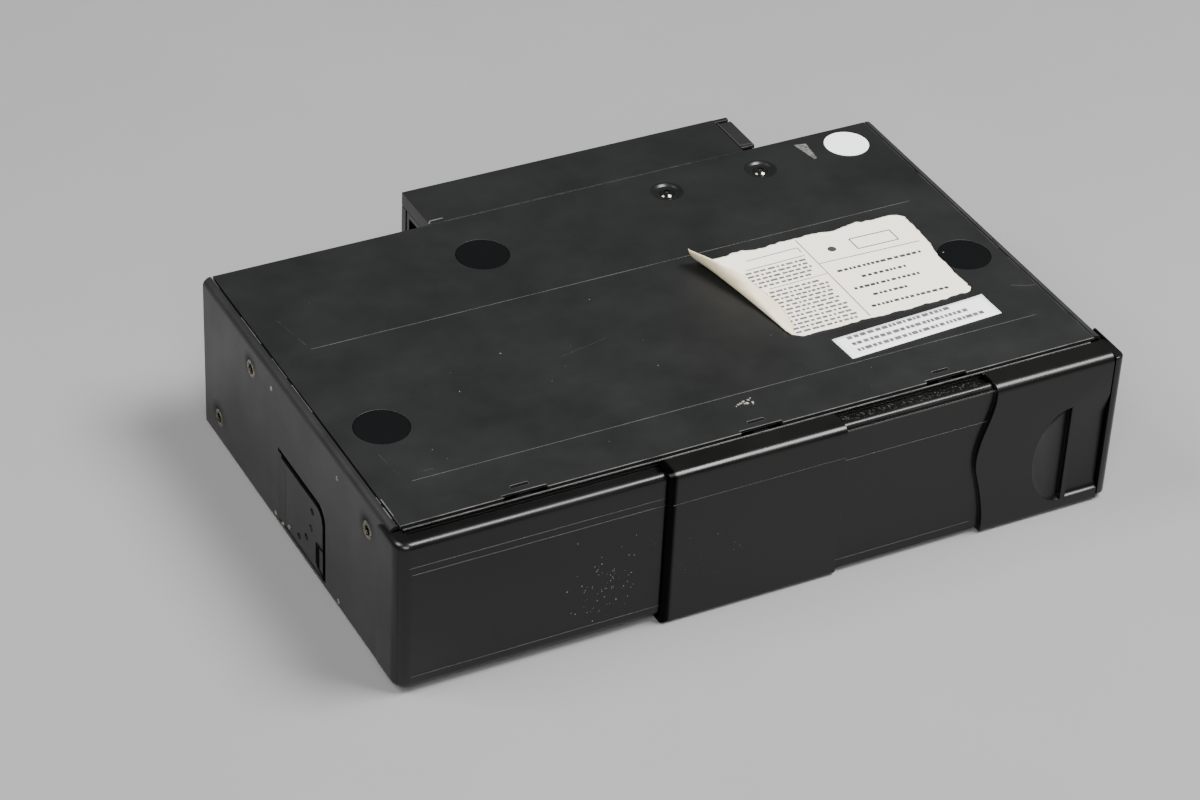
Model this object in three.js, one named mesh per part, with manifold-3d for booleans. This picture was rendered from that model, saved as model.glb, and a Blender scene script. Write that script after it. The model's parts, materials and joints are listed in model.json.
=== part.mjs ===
// Car disc changer with a six tray magazine, lying upside down: base plate up, sliding door in front.
// Millimetres, +Z up, +X towards the magazine side, front towards -Y, y = 0 at the base plate's front edge.
import * as THREE from "three";
import { ConvexGeometry } from "three/addons/geometries/ConvexGeometry.js";
import { mergeVertices } from "three/addons/utils/BufferGeometryUtils.js";
import Module from "manifold-3d";

const wasm = await Module();
wasm.setup();

// Driving dimensions

const gap = 0.3; // between neighbouring pieces
const running = 0.05; // between a shaft and its bore, on the radius
const over = 1; // how far a cut runs past what it cuts
const sheet = 1; // thickness of the case's sheet metal

const disc = { radius: 60, play: 0.5, travel: 100 };
const tray = { thick: 1.8, lead: 3, tail: 1, side: 1.7, recess: 1.2, holeRadius: 17, slotMargin: 5 };
const trayEar = { wide: 7, proud: 2.6, notchWide: 2.6, notchDeep: 1.6 };
const trays = { count: 6, pitch: 6.2, above: 6.1 };
const mag = { front: 3.2, frontRoom: 2.6, backRoom: 1.7, lead: 0.6, side: 1 };
const magWall = { thick: 1.5, stop: 1.7, floor: 1.9, ledge: 1.5 };
const pull = { margin: 25.2, low: 21, high: 29, proud: 2.8 };
const rail = { wide: 4, inset: 8 };

const body = { topBend: 2.8, bottomBend: 2 };
const plate = { inset: 3.5, under: 2 };
const plateSlot = { width: 5.8, deep: 1.2, back: 3.6, notchWidth: 15, notchDeep: 1.2 };
const clipShares = [-0.664, 0, 0.545];
const pads = { radius: 8.9, seatDeep: 0.5, stemRadius: 7, stemLong: 1.6, margin: 0.2 };
const padShares = [[-0.3, 0.841], [-0.872, 0.3285], [0.8955, 0.4027]];
const dimple = { radius: 5.5, floorRadius: 3, deep: 1, rim: 0.8, headRadius: 2.8, headHigh: 1.1 };
const transportScrew = { radius: 1.5, long: 8, spread: 36.6, offset: 3.5, behind: 2.1 };

const bezel = { side: 1.3, front: 9, bottom: 2, lower: 1, wall: 2, wrap: 6.3, back: 0.3 };
const bezelRound = { corner: 5, edge: 2.3 };
const bezelLip = { back: 2.2, deep: 0.4 };
const bezelTrack = { front: 6.6, deep: 1.2 };
const bezelWindow = { lead: 10.1, edge: 4.5, margin: 6.5 };
const endCap = { width: 3.9, proud: 2.8, corner: 3, edge: 0.8 };
const clip = { width: 5.2, high: 1.4, hook: 0.8, under: 0.4 };

const leaf = { reach: 58, front: 10.1, thick: 0.8, bottom: 2, topMargin: 1.8, tuck: 9 };
const grip = { wide: 45, front: 11.7, back: 2.6, lowBack: 4, round: 3, footRound: 1.4, foot: 0.3 };
const gripFlange = { top: 0.7, bottom: 1.4 };
const hook = { thick: 0.8, deep: 0.9, inset: 4 };
const scoop = { inset: 14.3, wide: 13, low: 4.6, topMargin: 16.2, deep: 1.7, step: 0.15, shallow: 0.4,
  bank: 1.4 };
const thumb = { inset: 12.4, low: 5.2, topMargin: 14.6, fade: 8, deep: 1.7, fillet: 3 };
const cover = { overlap: 3.55, wide: 62.8, front: 11.2, thick: 0.8, side: 1, back: 3.3, round: 2.7,
  corner: 2.2 };

const rear = { left: -45.5, wide: 125.8, deep: 22.3, bottom: 14, lip: 5, strip: 5.3, stripInset: 3.1 };
const socket = { front: 3.5, deep: 15, high: 23.5, long: 20, wall: 2, hollow: 11 };
const pins = { rows: 4, pitch: 3.6, half: 0.5, long: 4, base: 1.2 };
const link = { inset: 11.5, edge: 3.3, up: 27, thick: 1.6, standoffRadius: 2, chipWide: 14, chipHigh: 2.4 };

const sideWindow = { front: 47.6, back: 85, top: 31.5, bottom: 2.8, corner: 6, deep: 0.3, slope: 5 };
const anglePlate = { thick: 0.8, pivotBehind: 75.5, pivotUp: 22.5, ringRadius: 17, holeRadius: 1.3,
  studRadius: 2, frontRoom: 1.7, topRoom: 1.3 };
const angleHoles = { first: 175.5, step: 24.3, count: 4 };
const angleLever = { thick: 1.2, hubRadius: 5, armWidth: 5, long: 19, pegRadius: 1 };
const tab = { front: 50.6, back: 56, low: 5.4, high: 14, slit: 0.9 };

const insert = { radius: 2.3, flangeRadius: 3, flangeThick: 0.6, bore: 1.6, long: 3.4 };
const insertShares = [[0.724, 0.828], [0.918, 0.174], [0.1075, 0.8034]];
const label = { inset: 20.7, wide: 67.8, front: 38.5, deep: 52, thick: 0.25 };
const labelCurl = { lean: 8.2, frontRadius: 0.5, backRadius: 3.8, openHigh: 3.4, root: 0.4 };

const frame = { bottom: 3.2, thick: 1.2, wall: 1, front: 3, back: 1.7 };
const frameFlange = { leftWide: 8.5, backDeep: 8.4, backInset: 3, rightInset: 7.2, rightEnd: 0.9 };
const damper = { leftLong: 6.5, rightLong: 6.8, radius: 4.6, waist: 3.2, up: 12, front: 22, backInset: 28 };

const bayTop = { lead: 5.4, front: 6, above: 0.5, thick: 1, bossRadius: 3.4 };
const board = { lead: 4, side: 2.2, front: 12, backInset: 15.1, above: 5.3, thick: 1.6, holeInset: 10,
  standoffRadius: 2.5 };
const parts = { chipWide: 22, chipHigh: 2, canRadius: 4, canHigh: 3.6, heatSinkLong: 30, heatSinkHigh: 4 };

const deck = { side: 0.9, play: 1, front: 4, back: 11.1, above: 4.5, thick: 1.2, room: 9 };
const deckStrip = { room: 2.4, deep: 9 };
const post = { radius: 1.5, bossRadius: 3, bossHigh: 5 };
const postPlace = { edge: 3.1, front: 20, backInset: 26, rearInset: 9, behind: 8 };
const screw = { offset: 18.5, behind: 7.9, radius: 2, bossRadius: 3.2, pulleyRadius: 2.8, pulleyUp: 0.8,
  pulleyHigh: 2 };
const liftMotor = { lead: 15.4, radius: 5, high: 19.6, up: 1.2, shaftRadius: 0.8, mount: 1.2 };
const belt = { thick: 0.4 };

const spindle = { motorRadius: 11, motorHigh: 6.4, tableRadius: 13, tableHigh: 1.8, bossRadius: 7.3,
  bossHigh: 0.8 };
const spindleShaft = { radius: 1, holeRadius: 5 };
const sled = { wide: 26, wingWide: 38, deep: 12, above: 1.5, wingUp: 1.8, wingHigh: 4, lensRadius: 3 };
const sledReach = { inner: 24, rim: 6, play: 1.4 };
const guide = { radius: 1.2, offset: 16.5, tab: 1.2, tabWide: 6, play: 3.1 };
const sledMotor = { radius: 3.6, long: 8 };
const clamp = { below: 3.9, armThick: 0.8, armWide: 14, puckRadius: 13, puckHigh: 2, neckRadius: 5,
  flangeRadius: 7 };
const clampWindow = { behind: 20, ahead: 12, halfWide: 11 };
const clampHinge = { barrel: 1.4, pin: 0.8, ear: 1.2, earWide: 5, halfSpan: 9, under: 0.5 };

const pusher = { wide: 7, behind: 1.5, deep: 3.9, below: 2.1, above: 3.9, hook: 2, hookHigh: 1.4 };
const trayScrew = { inset: 2.2, above: 0.7, radius: 1.2, bracket: 1.2, bracketBelow: 2 };
const trayMotor = { radius: 3.6, long: 5, play: 1.4, edge: 0.2 };

const button = { wide: 3.6, headDeep: 5.5, low: 17, high: 34, front: 7.5, rodWide: 2.6, rodLow: 24,
  rodHigh: 27 };
const lever = { behind: 4.3, wide: 3.6, arm: 34.8, past: 17.4, noseWide: 2, neckRadius: 1.5,
  studRadius: 2.6, hubRadius: 4 };
const returnSpring = { inner: 2.2, outer: 3.6, high: 5 };
const guideTab = { front: 6, thick: 1.2, low: 19, high: 32, reach: 6 };

const roundSides = 24;
const wideSides = 32;
const smallSides = 12;
const arcSteps = 4;

// Across: the case is as wide as the magazine, the trays' travel and the dampers need

const recessRadius = disc.radius + disc.play;
const trayLong = tray.lead + 2 * recessRadius + tray.tail;
const trayDeep = 2 * (recessRadius + tray.side);
const motorRoom = trayMotor.play + trayMotor.long + trayMotor.edge + deck.side;
const magRoom = magWall.stop + magWall.thick + mag.side;
const frameWidth = frame.wall + motorRoom + disc.travel + trayLong + magRoom + frame.wall;
const half = (damper.leftLong + frameWidth + damper.rightLong) / 2 + sheet;
const innerSide = half - sheet;
const plateHalf = half - plate.inset;
const frameLeft = innerSide - damper.leftLong;
const frameRight = innerSide - damper.rightLong;
const magRight = frameRight - frame.wall - mag.side;
const trayRight = magRight - magWall.thick - magWall.stop;
const trayLeft = trayRight - trayLong;
const magLeft = trayLeft + trayEar.wide + mag.lead;
const discX = trayLeft + tray.lead + recessRadius;
const spindleX = discX - disc.travel;
const deckLeft = frameLeft - frame.wall - deck.side;
const deckRight = trayLeft - deck.play;
const stripRight = trayLeft + pusher.wide + deckStrip.room;
const screwX = spindleX - screw.offset;
const liftMotorX = magLeft + liftMotor.lead;
const hingeX = -deckLeft + postPlace.edge;
const bayLeft = magLeft + bayTop.lead;
const bezelHalf = half + bezel.side;
const capLeft = bezelHalf - endCap.width;
const gripRight = capLeft - gap * 1.5;
const gripLeft = gripRight - grip.wide;
const leafLeft = gripLeft - leaf.reach;
const coverRight = leafLeft + cover.overlap;
const coverLeft = coverRight - cover.wide;
const rearRight = rear.left + rear.wide;
const rodMiddleX = frameRight + gap + button.wide / 2 + gap;
const leverRight = rodMiddleX + button.rodWide / 2;
const leverX = leverRight - lever.arm;
const leverLeft = discX - lever.past;

// Front to back: the case is as deep as the trays and the drive behind them need

const trayFront = mag.front + mag.frontRoom;
const discY = trayFront + trayDeep / 2;
const trayBack = trayFront + trayDeep;
const magBack = trayBack + mag.backRoom;
const pusherFront = magBack + pusher.behind;
const trayScrewY = pusherFront + trayScrew.inset;
const leverY = magBack + lever.behind;
const screwY = magBack + screw.behind;
const deckBack = magBack + deck.back;
const frameBack = deckBack + gap + frame.wall;
const rearWall = frameBack + frame.back;
const depth = rearWall + sheet;
const rearFront = depth + gap;
const rearBack = depth + rear.deep;
const bezelPlane = -bezel.front;
const lensY = discY - sledReach.inner;
const sledTravel = disc.radius - sledReach.inner - sledReach.rim;
const sledFront = lensY - sled.deep / 2;
const guideFront = sledFront - sledTravel - sledReach.play - guide.tab;
const guideBack = sledFront + sled.deep + guide.play;

// Upwards: the case is as high as the stack of trays and the deck need

const frameTop = frame.bottom + frame.thick;
const trayLevels = Array.from({ length: trays.count }, (_, k) => frameTop + trays.above + k * trays.pitch);
const topLevel = trayLevels[trays.count - 1];
const trayHalf = tray.thick / 2;
const slotHalf = trayHalf + gap;
const magBottom = trayLevels[0] - slotHalf - magWall.floor;
const magTop = topLevel + slotHalf + gap + magWall.thick;
const bayZ = magTop + bayTop.above;
const boardZ = bayZ + board.above;
const deckZ = topLevel + deck.above;
const deckTop = deckZ + deck.thick;
const wingLow = deckTop + sled.wingUp;
const guideZ = wingLow + sled.wingHigh / 2;
const clampZ = topLevel - clamp.below;
const trayScrewZ = topLevel + trayScrew.above;
const frameHigh = deckZ + deck.room;
const plateUnder = frameHigh + plate.under;
const height = plateUnder + sheet;
const bezelTop = height - bezel.lower;

// Places that several pieces share

const clipPlaces = clipShares.map((share) => share * plateHalf);
const padPlaces = padShares.map(([x, y]) => [x * plateHalf, y * depth]);
const insertPlaces = insertShares.map(([y, z]) => [y * depth, z * height]);
const postPlaces = [
  [hingeX, postPlace.front],
  [hingeX, depth - postPlace.backInset - sheet],
  [trayLeft - postPlace.rearInset, magBack + postPlace.behind],
];
const dimplePlaces = [-1, 1].map((side) => [
  discX + transportScrew.offset + (side * transportScrew.spread) / 2,
  magBack + transportScrew.behind,
]);

// Shaping

function mid(range) {
  return (range[0] + range[1]) / 2;
}

function solid(geometry) {
  const bare = geometry.index ? geometry.toNonIndexed() : geometry.clone();
  bare.deleteAttribute("normal");
  bare.deleteAttribute("uv");
  const merged = mergeVertices(bare, 1e-4);
  const index = merged.index.array;
  const kept = [];
  for (let i = 0; i < index.length; i += 3) {
    const [a, b, c] = [index[i], index[i + 1], index[i + 2]];
    if (a !== b && b !== c && c !== a) kept.push(a, b, c);
  }
  const vertProperties = new Float32Array(merged.attributes.position.array);
  const make = (tris) =>
    new wasm.Manifold(new wasm.Mesh({ numProp: 3, vertProperties, triVerts: new Uint32Array(tris) }));
  const made = make(kept);
  if (made.volume() > 0) return made;
  const turned = [];
  for (let i = 0; i < kept.length; i += 3) turned.push(kept[i], kept[i + 2], kept[i + 1]);
  return make(turned);
}

function join(...pieces) {
  return pieces.reduce((sum, piece) => sum.add(piece));
}

function cut(base, ...tools) {
  return tools.reduce((rest, tool) => rest.subtract(tool), base);
}

function block(x, y, z) {
  const geometry = new THREE.BoxGeometry(x[1] - x[0], y[1] - y[0], z[1] - z[0]);
  geometry.translate(mid(x), mid(y), mid(z));
  return solid(geometry);
}

// A round bar along "x", "y" or "z"; centre gives the other two coordinates in x, y, z order
function bar(axis, radius, range, centre, sides = roundSides) {
  const geometry = new THREE.CylinderGeometry(radius, radius, range[1] - range[0], sides);
  if (axis === "x") geometry.rotateZ(-Math.PI / 2).translate(mid(range), centre[0], centre[1]);
  if (axis === "y") geometry.translate(centre[0], mid(range), centre[1]);
  if (axis === "z") geometry.rotateX(Math.PI / 2).translate(centre[0], centre[1], mid(range));
  return solid(geometry);
}

// A closed profile of [radius, height] turned about Z
function turned(profile, sides = roundSides) {
  const points = profile.map(([r, h]) => new THREE.Vector2(r, h));
  return solid(new THREE.LatheGeometry(points, sides).rotateX(Math.PI / 2));
}

// An outline pushed along an axis; its own two coordinates are the other two in x, y, z order
function prism(outline, axis, range, bevel = 0) {
  const settings = {
    depth: range[1] - range[0] - 2 * bevel,
    curveSegments: arcSteps,
    bevelEnabled: bevel > 0,
    bevelThickness: bevel,
    bevelSize: bevel,
    bevelOffset: -bevel,
    bevelSegments: 3,
  };
  const geometry = new THREE.ExtrudeGeometry(outline, settings);
  const X = new THREE.Vector3(1, 0, 0);
  const Y = new THREE.Vector3(0, 1, 0);
  const Z = new THREE.Vector3(0, 0, 1);
  const basis = new THREE.Matrix4();
  if (axis === "x") basis.makeBasis(Y, Z, X).setPosition(range[0] + bevel, 0, 0);
  if (axis === "y") basis.makeBasis(X, Z, Y.clone().negate()).setPosition(0, range[1] - bevel, 0);
  if (axis === "z") basis.setPosition(0, 0, range[0] + bevel);
  return solid(geometry.applyMatrix4(basis));
}

function outline(points) {
  return new THREE.Shape(points.map(([a, b]) => new THREE.Vector2(a, b)));
}

function stadium(a, b, y, radius) {
  const shape = new THREE.Shape();
  shape.moveTo(b, y - radius);
  shape.absarc(b, y, radius, -Math.PI / 2, Math.PI / 2);
  shape.absarc(a, y, radius, Math.PI / 2, (3 * Math.PI) / 2);
  shape.closePath();
  return shape;
}

// Finishes

const finishes = {
  blackSteel: { color: 0x2b2c2b, roughness: 0.55, metalness: 0.4 },
  blackPlastic: { color: 0x1f201f, roughness: 0.45, metalness: 0 },
  rubber: { color: 0x111517, roughness: 0.5, metalness: 0 },
  paper: { color: 0xe4e1d6, roughness: 0.8, metalness: 0 },
  zinc: { color: 0xa8a69c, roughness: 0.4, metalness: 0.9 },
  brass: { color: 0xa58a4c, roughness: 0.4, metalness: 0.9 },
  steel: { color: 0xb9bcbf, roughness: 0.25, metalness: 1 },
  greyPlastic: { color: 0x54585b, roughness: 0.5, metalness: 0 },
  whitePlastic: { color: 0xd8d8d2, roughness: 0.4, metalness: 0 },
  board: { color: 0x1f5a33, roughness: 0.5, metalness: 0 },
  tray: { color: 0x2c3032, roughness: 0.5, metalness: 0 },
};

const changer = new THREE.Group();

function add(name, shape, finish, place = [0, 0, 0], turn = [0, 0, 0]) {
  const made = shape.getMesh();
  const geometry = new THREE.BufferGeometry();
  geometry.setAttribute("position", new THREE.BufferAttribute(new Float32Array(made.vertProperties), 3));
  geometry.setIndex(new THREE.BufferAttribute(new Uint32Array(made.triVerts), 1));
  geometry.computeVertexNormals();
  const mesh = new THREE.Mesh(geometry, new THREE.MeshStandardMaterial(finishes[finish]));
  mesh.name = name;
  mesh.position.set(...place);
  mesh.rotation.set(...turn);
  changer.add(mesh);
  return mesh;
}

// Case: the tub, its window and the holes for its inserts

function tubProfile() {
  const quarter = Math.PI / 2;
  const [top, low] = [body.topBend, body.bottomBend];
  const lip = plateHalf + gap;
  const H = height;
  const shape = new THREE.Shape();
  shape.moveTo(-lip, H);
  shape.absarc(-half + top, H - top, top, quarter, 2 * quarter, false);
  shape.absarc(-half + low, low, low, 2 * quarter, 3 * quarter, false);
  shape.absarc(half - low, low, low, -quarter, 0, false);
  shape.absarc(half - top, H - top, top, 0, quarter, false);
  shape.lineTo(lip, H);
  shape.lineTo(lip, plateUnder);
  shape.absarc(half - top, H - top, top - sheet, quarter, 0, true);
  shape.absarc(half - low, low, low - sheet, 0, -quarter, true);
  shape.absarc(-half + low, low, low - sheet, -quarter, -2 * quarter, true);
  shape.absarc(-half + top, H - top, top - sheet, 2 * quarter, quarter, true);
  shape.lineTo(-lip, plateUnder);
  shape.closePath();
  return shape;
}

function windowOutline() {
  const w = sideWindow;
  const shape = new THREE.Shape();
  shape.moveTo(w.front, w.bottom);
  shape.lineTo(w.back, w.bottom);
  shape.lineTo(w.back, w.top);
  shape.absarc(w.front + w.corner, w.top - w.corner, w.corner, Math.PI / 2, Math.PI, false);
  shape.closePath();
  return shape;
}

function caseCover() {
  const tub = prism(tubProfile(), "y", [gap * 2, depth]);
  const rearPanel = block(
    [-half + sheet / 2, half - sheet / 2],
    [rearWall, depth],
    [sheet / 2, plateUnder - gap],
  );
  const hatch = prism(windowOutline(), "x", [-half - over, -half + sheet + over]);
  const holes = insertPlaces.flatMap(([y, z]) => [
    bar("x", insert.radius + running, [-half - over, -half + sheet + over], [y, z], smallSides),
    bar("x", insert.radius + running, [half - sheet - over, half + over], [y, z], smallSides),
  ]);
  add("case_cover", cut(join(tub, rearPanel), hatch, ...holes), "blackSteel");
}

// Base plate with its clip slots, pad seats and screw dimples

function basePlate() {
  const H = height;
  const flat = block([-plateHalf, plateHalf], [0, depth], [plateUnder, H]);
  const clipCuts = clipPlaces.flatMap((x) => [
    block([x - plateSlot.width / 2, x + plateSlot.width / 2],
      [plateSlot.back, plateSlot.back + plateSlot.deep], [plateUnder - over, H + over]),
    block([x - plateSlot.notchWidth / 2, x + plateSlot.notchWidth / 2],
      [-over, plateSlot.notchDeep], [plateUnder - over, H + over]),
  ]);
  const seats = padPlaces.flatMap(([x, y]) => [
    bar("z", pads.radius + pads.margin, [H - pads.seatDeep, H + over], [x, y], wideSides),
    bar("z", pads.stemRadius + gap, [plateUnder - over, H], [x, y], roundSides),
  ]);
  const d = dimple;
  const floor = H - d.deep;
  const cup = turned([
    [d.radius + d.rim, H], [d.radius, H], [d.floorRadius, floor], [transportScrew.radius + gap, floor],
    [transportScrew.radius + gap, floor - sheet], [d.floorRadius + d.rim / 2, floor - sheet],
    [d.radius + d.rim, plateUnder], [d.radius + d.rim, H],
  ]);
  let shape = cut(flat, ...clipCuts, ...seats);
  for (const [x, y] of dimplePlaces) {
    shape = cut(shape, bar("z", d.radius + d.rim / 2, [plateUnder - over, H + over], [x, y]));
    shape = join(shape, cup.translate([x, y, 0]));
  }
  add("base_plate", shape, "blackSteel");
}

function padsAndScrews() {
  const H = height;
  const seat = H - pads.seatDeep + running;
  const pad = turned([
    [0, seat - pads.stemLong], [pads.stemRadius, seat - pads.stemLong], [pads.stemRadius, seat],
    [pads.radius, seat], [pads.radius, H], [0, H],
  ], wideSides);
  padPlaces.forEach(([x, y], k) => add(`pad_${k + 1}`, pad, "rubber", [x, y, 0]));
  const rest = H - dimple.deep + running;
  const tip = rest - transportScrew.long;
  const shank = transportScrew.radius;
  const screwShape = turned([
    [0, tip], [shank, tip], [shank, rest], [dimple.headRadius, rest],
    [dimple.headRadius, rest + dimple.headHigh / 2], [dimple.headRadius * 0.7, rest + dimple.headHigh],
    [0, rest + dimple.headHigh],
  ], roundSides);
  dimplePlaces.forEach(([x, y], k) => add(`transport_screw_${k + 1}`, screwShape, "zinc", [x, y, 0]));
}

// Front bezel with the magazine window, end cap and clip tongues

function bezelPlan() {
  const b = bezel;
  const shape = new THREE.Shape();
  shape.moveTo(bezelHalf, b.wrap);
  shape.lineTo(-bezelHalf, b.wrap);
  const corner = bezelRound.corner;
  shape.absarc(-bezelHalf + corner, bezelPlane + corner, corner, Math.PI, (3 * Math.PI) / 2, false);
  shape.lineTo(bezelHalf, bezelPlane);
  shape.closePath();
  return shape;
}

function capPlan() {
  const front = bezelPlane - endCap.proud;
  const shape = new THREE.Shape();
  shape.moveTo(capLeft, bezel.wrap);
  shape.lineTo(capLeft, front);
  shape.absarc(bezelHalf - endCap.corner, front + endCap.corner, endCap.corner, -Math.PI / 2, 0, false);
  shape.lineTo(bezelHalf, bezel.wrap);
  shape.closePath();
  return shape;
}

function frontBezel() {
  const b = bezel;
  const w = bezelWindow;
  const outer = prism(bezelPlan(), "z", [b.bottom, bezelTop], bezelRound.edge);
  const cap = prism(capPlan(), "z", [b.bottom, bezelTop], endCap.edge);
  const clearSides = half + gap;
  const hollow = block([-clearSides, clearSides], [bezelPlane + b.wall, b.wrap + over],
    [b.bottom + b.wall, bezelTop - b.wall]);
  const behind = block([-clearSides, clearSides], [-b.back, b.wrap + over],
    [b.bottom - over, bezelTop + over]);
  const windowRight = capLeft - gap * 2;
  const opening = block([magLeft - w.lead, windowRight], [bezelPlane - over, bezelPlane + b.wall + over],
    [w.margin, height - w.margin]);
  const step = block([-clearSides, clearSides], [-bezelLip.back, over],
    [bezelTop - bezelLip.deep, bezelTop + over]);
  const track = block([-clearSides + w.edge, capLeft], [-bezelTrack.front, -bezelLip.back],
    [bezelTop - bezelTrack.deep, bezelTop + over]);
  let shape = cut(join(outer, cap), hollow, behind, opening, step, track);
  const tongueTop = plateUnder - clip.under;
  for (const x of clipPlaces) {
    const span = [x - clip.width / 2, x + clip.width / 2];
    const hookBack = plateSlot.back + plateSlot.deep - gap / 2;
    const tongue = block(span, [-b.back - over, hookBack], [tongueTop - clip.high, tongueTop]);
    const catchPiece = block(span, [hookBack - clip.hook, hookBack], [tongueTop - clip.high, height - gap]);
    shape = join(shape, tongue, catchPiece);
  }
  add("front_bezel", shape, "blackPlastic");
}

// Door: C shaped leaves that run on the bezel's top and bottom edges

function channelProfile(front, round, foot, top, back) {
  const shape = new THREE.Shape();
  shape.moveTo(-back, foot);
  shape.lineTo(-back, top);
  shape.absarc(-front + round, top - round, round, Math.PI / 2, Math.PI, false);
  const low = grip.footRound;
  shape.absarc(-front + low, foot + low, low, Math.PI, (3 * Math.PI) / 2, false);
  shape.closePath();
  return shape;
}

const channelUnderTop = height - gripFlange.top;
const channelOverFoot = grip.foot + gripFlange.bottom;

// The room inside a leaf, rounded along the top so that the leaf keeps its thickness
function pocketProfile(inside, round) {
  const shape = new THREE.Shape();
  shape.moveTo(over, channelOverFoot);
  shape.lineTo(over, channelUnderTop);
  shape.absarc(-inside + round, channelUnderTop - round, round, Math.PI / 2, Math.PI, false);
  shape.lineTo(-inside, channelOverFoot);
  shape.closePath();
  return shape;
}

// The lip under a leaf's top edge that runs in the bezel's track
function trackHook(x, back) {
  return block(x, [-back - hook.thick, -back], [channelUnderTop - hook.deep, channelUnderTop + running]);
}

function channel(x, front, round, inside, back) {
  const outer = prism(channelProfile(front, round, grip.foot, height, back), "x", x);
  const inner = block([x[0] - over, x[1] + over], [-inside, over], [channelOverFoot, channelUnderTop]);
  const lowBack = block([x[0] - over, x[1] + over], [-grip.lowBack, over], [-over, channelOverFoot]);
  return join(cut(outer, inner, lowBack), trackHook(x, back));
}

// The grip's left edge: swings out over the lower half and back in towards the top
function gripOutline() {
  const edgeShares = [
    [0.007, -0.02], [0.001, 0.12], [-0.024, 0.24], [-0.061, 0.36], [-0.096, 0.46],
    [-0.101, 0.56], [-0.073, 0.67], [-0.022, 0.79], [0.011, 0.9], [0.013, 1.03],
  ];
  const points = edgeShares.map(([x, z]) => new THREE.Vector2(gripLeft + x * grip.wide, z * height));
  const shape = new THREE.Shape();
  shape.moveTo(points[0].x, points[0].y);
  shape.splineThru(points.slice(1));
  shape.lineTo(gripRight, points[points.length - 1].y);
  shape.lineTo(gripRight, points[0].y);
  shape.closePath();
  return shape;
}

// Finger scoop: a half oval whose floor falls towards its straight right edge
function scoopTool() {
  const s = scoop;
  const face = -grip.front;
  const right = gripRight - s.inset;
  const high = height - s.topMargin;
  const ring = (inward, depthAt) => Array.from({ length: wideSides / 2 + 1 }, (_, k) => {
    const turn = Math.PI / 2 + (2 * Math.PI * k) / wideSides;
    const x = (s.wide - inward) * Math.cos(turn);
    const z = (high + s.low) / 2 + ((high - s.low) / 2 - inward) * Math.sin(turn);
    return new THREE.Vector3(right + x, face + depthAt(x), z);
  });
  const floorAt = (x) => s.deep + ((s.deep - s.shallow) * x) / s.wide;
  const rings = [ring(0, () => -over), ring(0, () => s.step), ring(s.bank, floorAt)];
  return solid(new ConvexGeometry(rings.flat()));
}

function thumbTool() {
  const t = thumb;
  const face = -grip.front;
  const high = height - t.topMargin;
  const foot = Array.from({ length: arcSteps + 1 }, (_, k) => {
    const turn = (Math.PI * k) / (2 * arcSteps);
    return [face + t.deep * Math.sin(turn), t.low + t.fillet * (1 - Math.cos(turn))];
  });
  const shape = outline([
    [face - over, t.low], ...foot, [face + t.deep, high - t.fade], [face, high], [face - over, high],
  ]);
  return prism(shape, "x", [gripRight - t.inset, bezelHalf]);
}

function door() {
  const panel = block([leafLeft, gripLeft + leaf.thick], [-leaf.front, -leaf.front + leaf.thick],
    [leaf.bottom, height - leaf.topMargin]);
  const backFace = leaf.front - leaf.thick;
  const gripBody = channel([gripLeft - leaf.tuck, gripRight], grip.front, grip.round, backFace, grip.back)
    .intersect(prism(gripOutline(), "y", [-grip.front - over, over]));
  add("sliding_door", join(cut(gripBody, scoopTool(), thumbTool()), panel), "blackPlastic");

  const c = cover;
  const inside = c.front - c.thick;
  const profile = channelProfile(c.front, c.round, grip.foot, height, c.back);
  const outer = prism(profile, "x", [coverLeft, coverRight]);
  const pocket = prism(pocketProfile(inside, c.round - c.thick), "x",
    [coverLeft + c.side, coverRight + over]);
  const behind = block([coverLeft - over, coverRight + over], [bezelPlane - gap, over],
    [channelOverFoot, channelUnderTop]);
  const lowBack = block([coverLeft - over, coverRight + over], [-grip.lowBack, over],
    [-over, channelOverFoot]);
  const plan = new THREE.Shape();
  plan.moveTo(coverRight, over);
  plan.lineTo(coverLeft, over);
  plan.absarc(coverLeft + c.corner, -c.front + c.corner, c.corner, Math.PI, (3 * Math.PI) / 2, false);
  plan.lineTo(coverRight, -c.front);
  plan.closePath();
  const rounded = prism(plan, "z", [-over, height + over]);
  const lip = trackHook([coverLeft + hook.inset, coverRight], c.back);
  const channelShape = join(cut(outer, pocket, behind, lowBack), lip);
  add("door_cover_plate", channelShape.intersect(rounded), "blackPlastic");
}

// Box behind the case, its lid, socket and interface board

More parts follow.
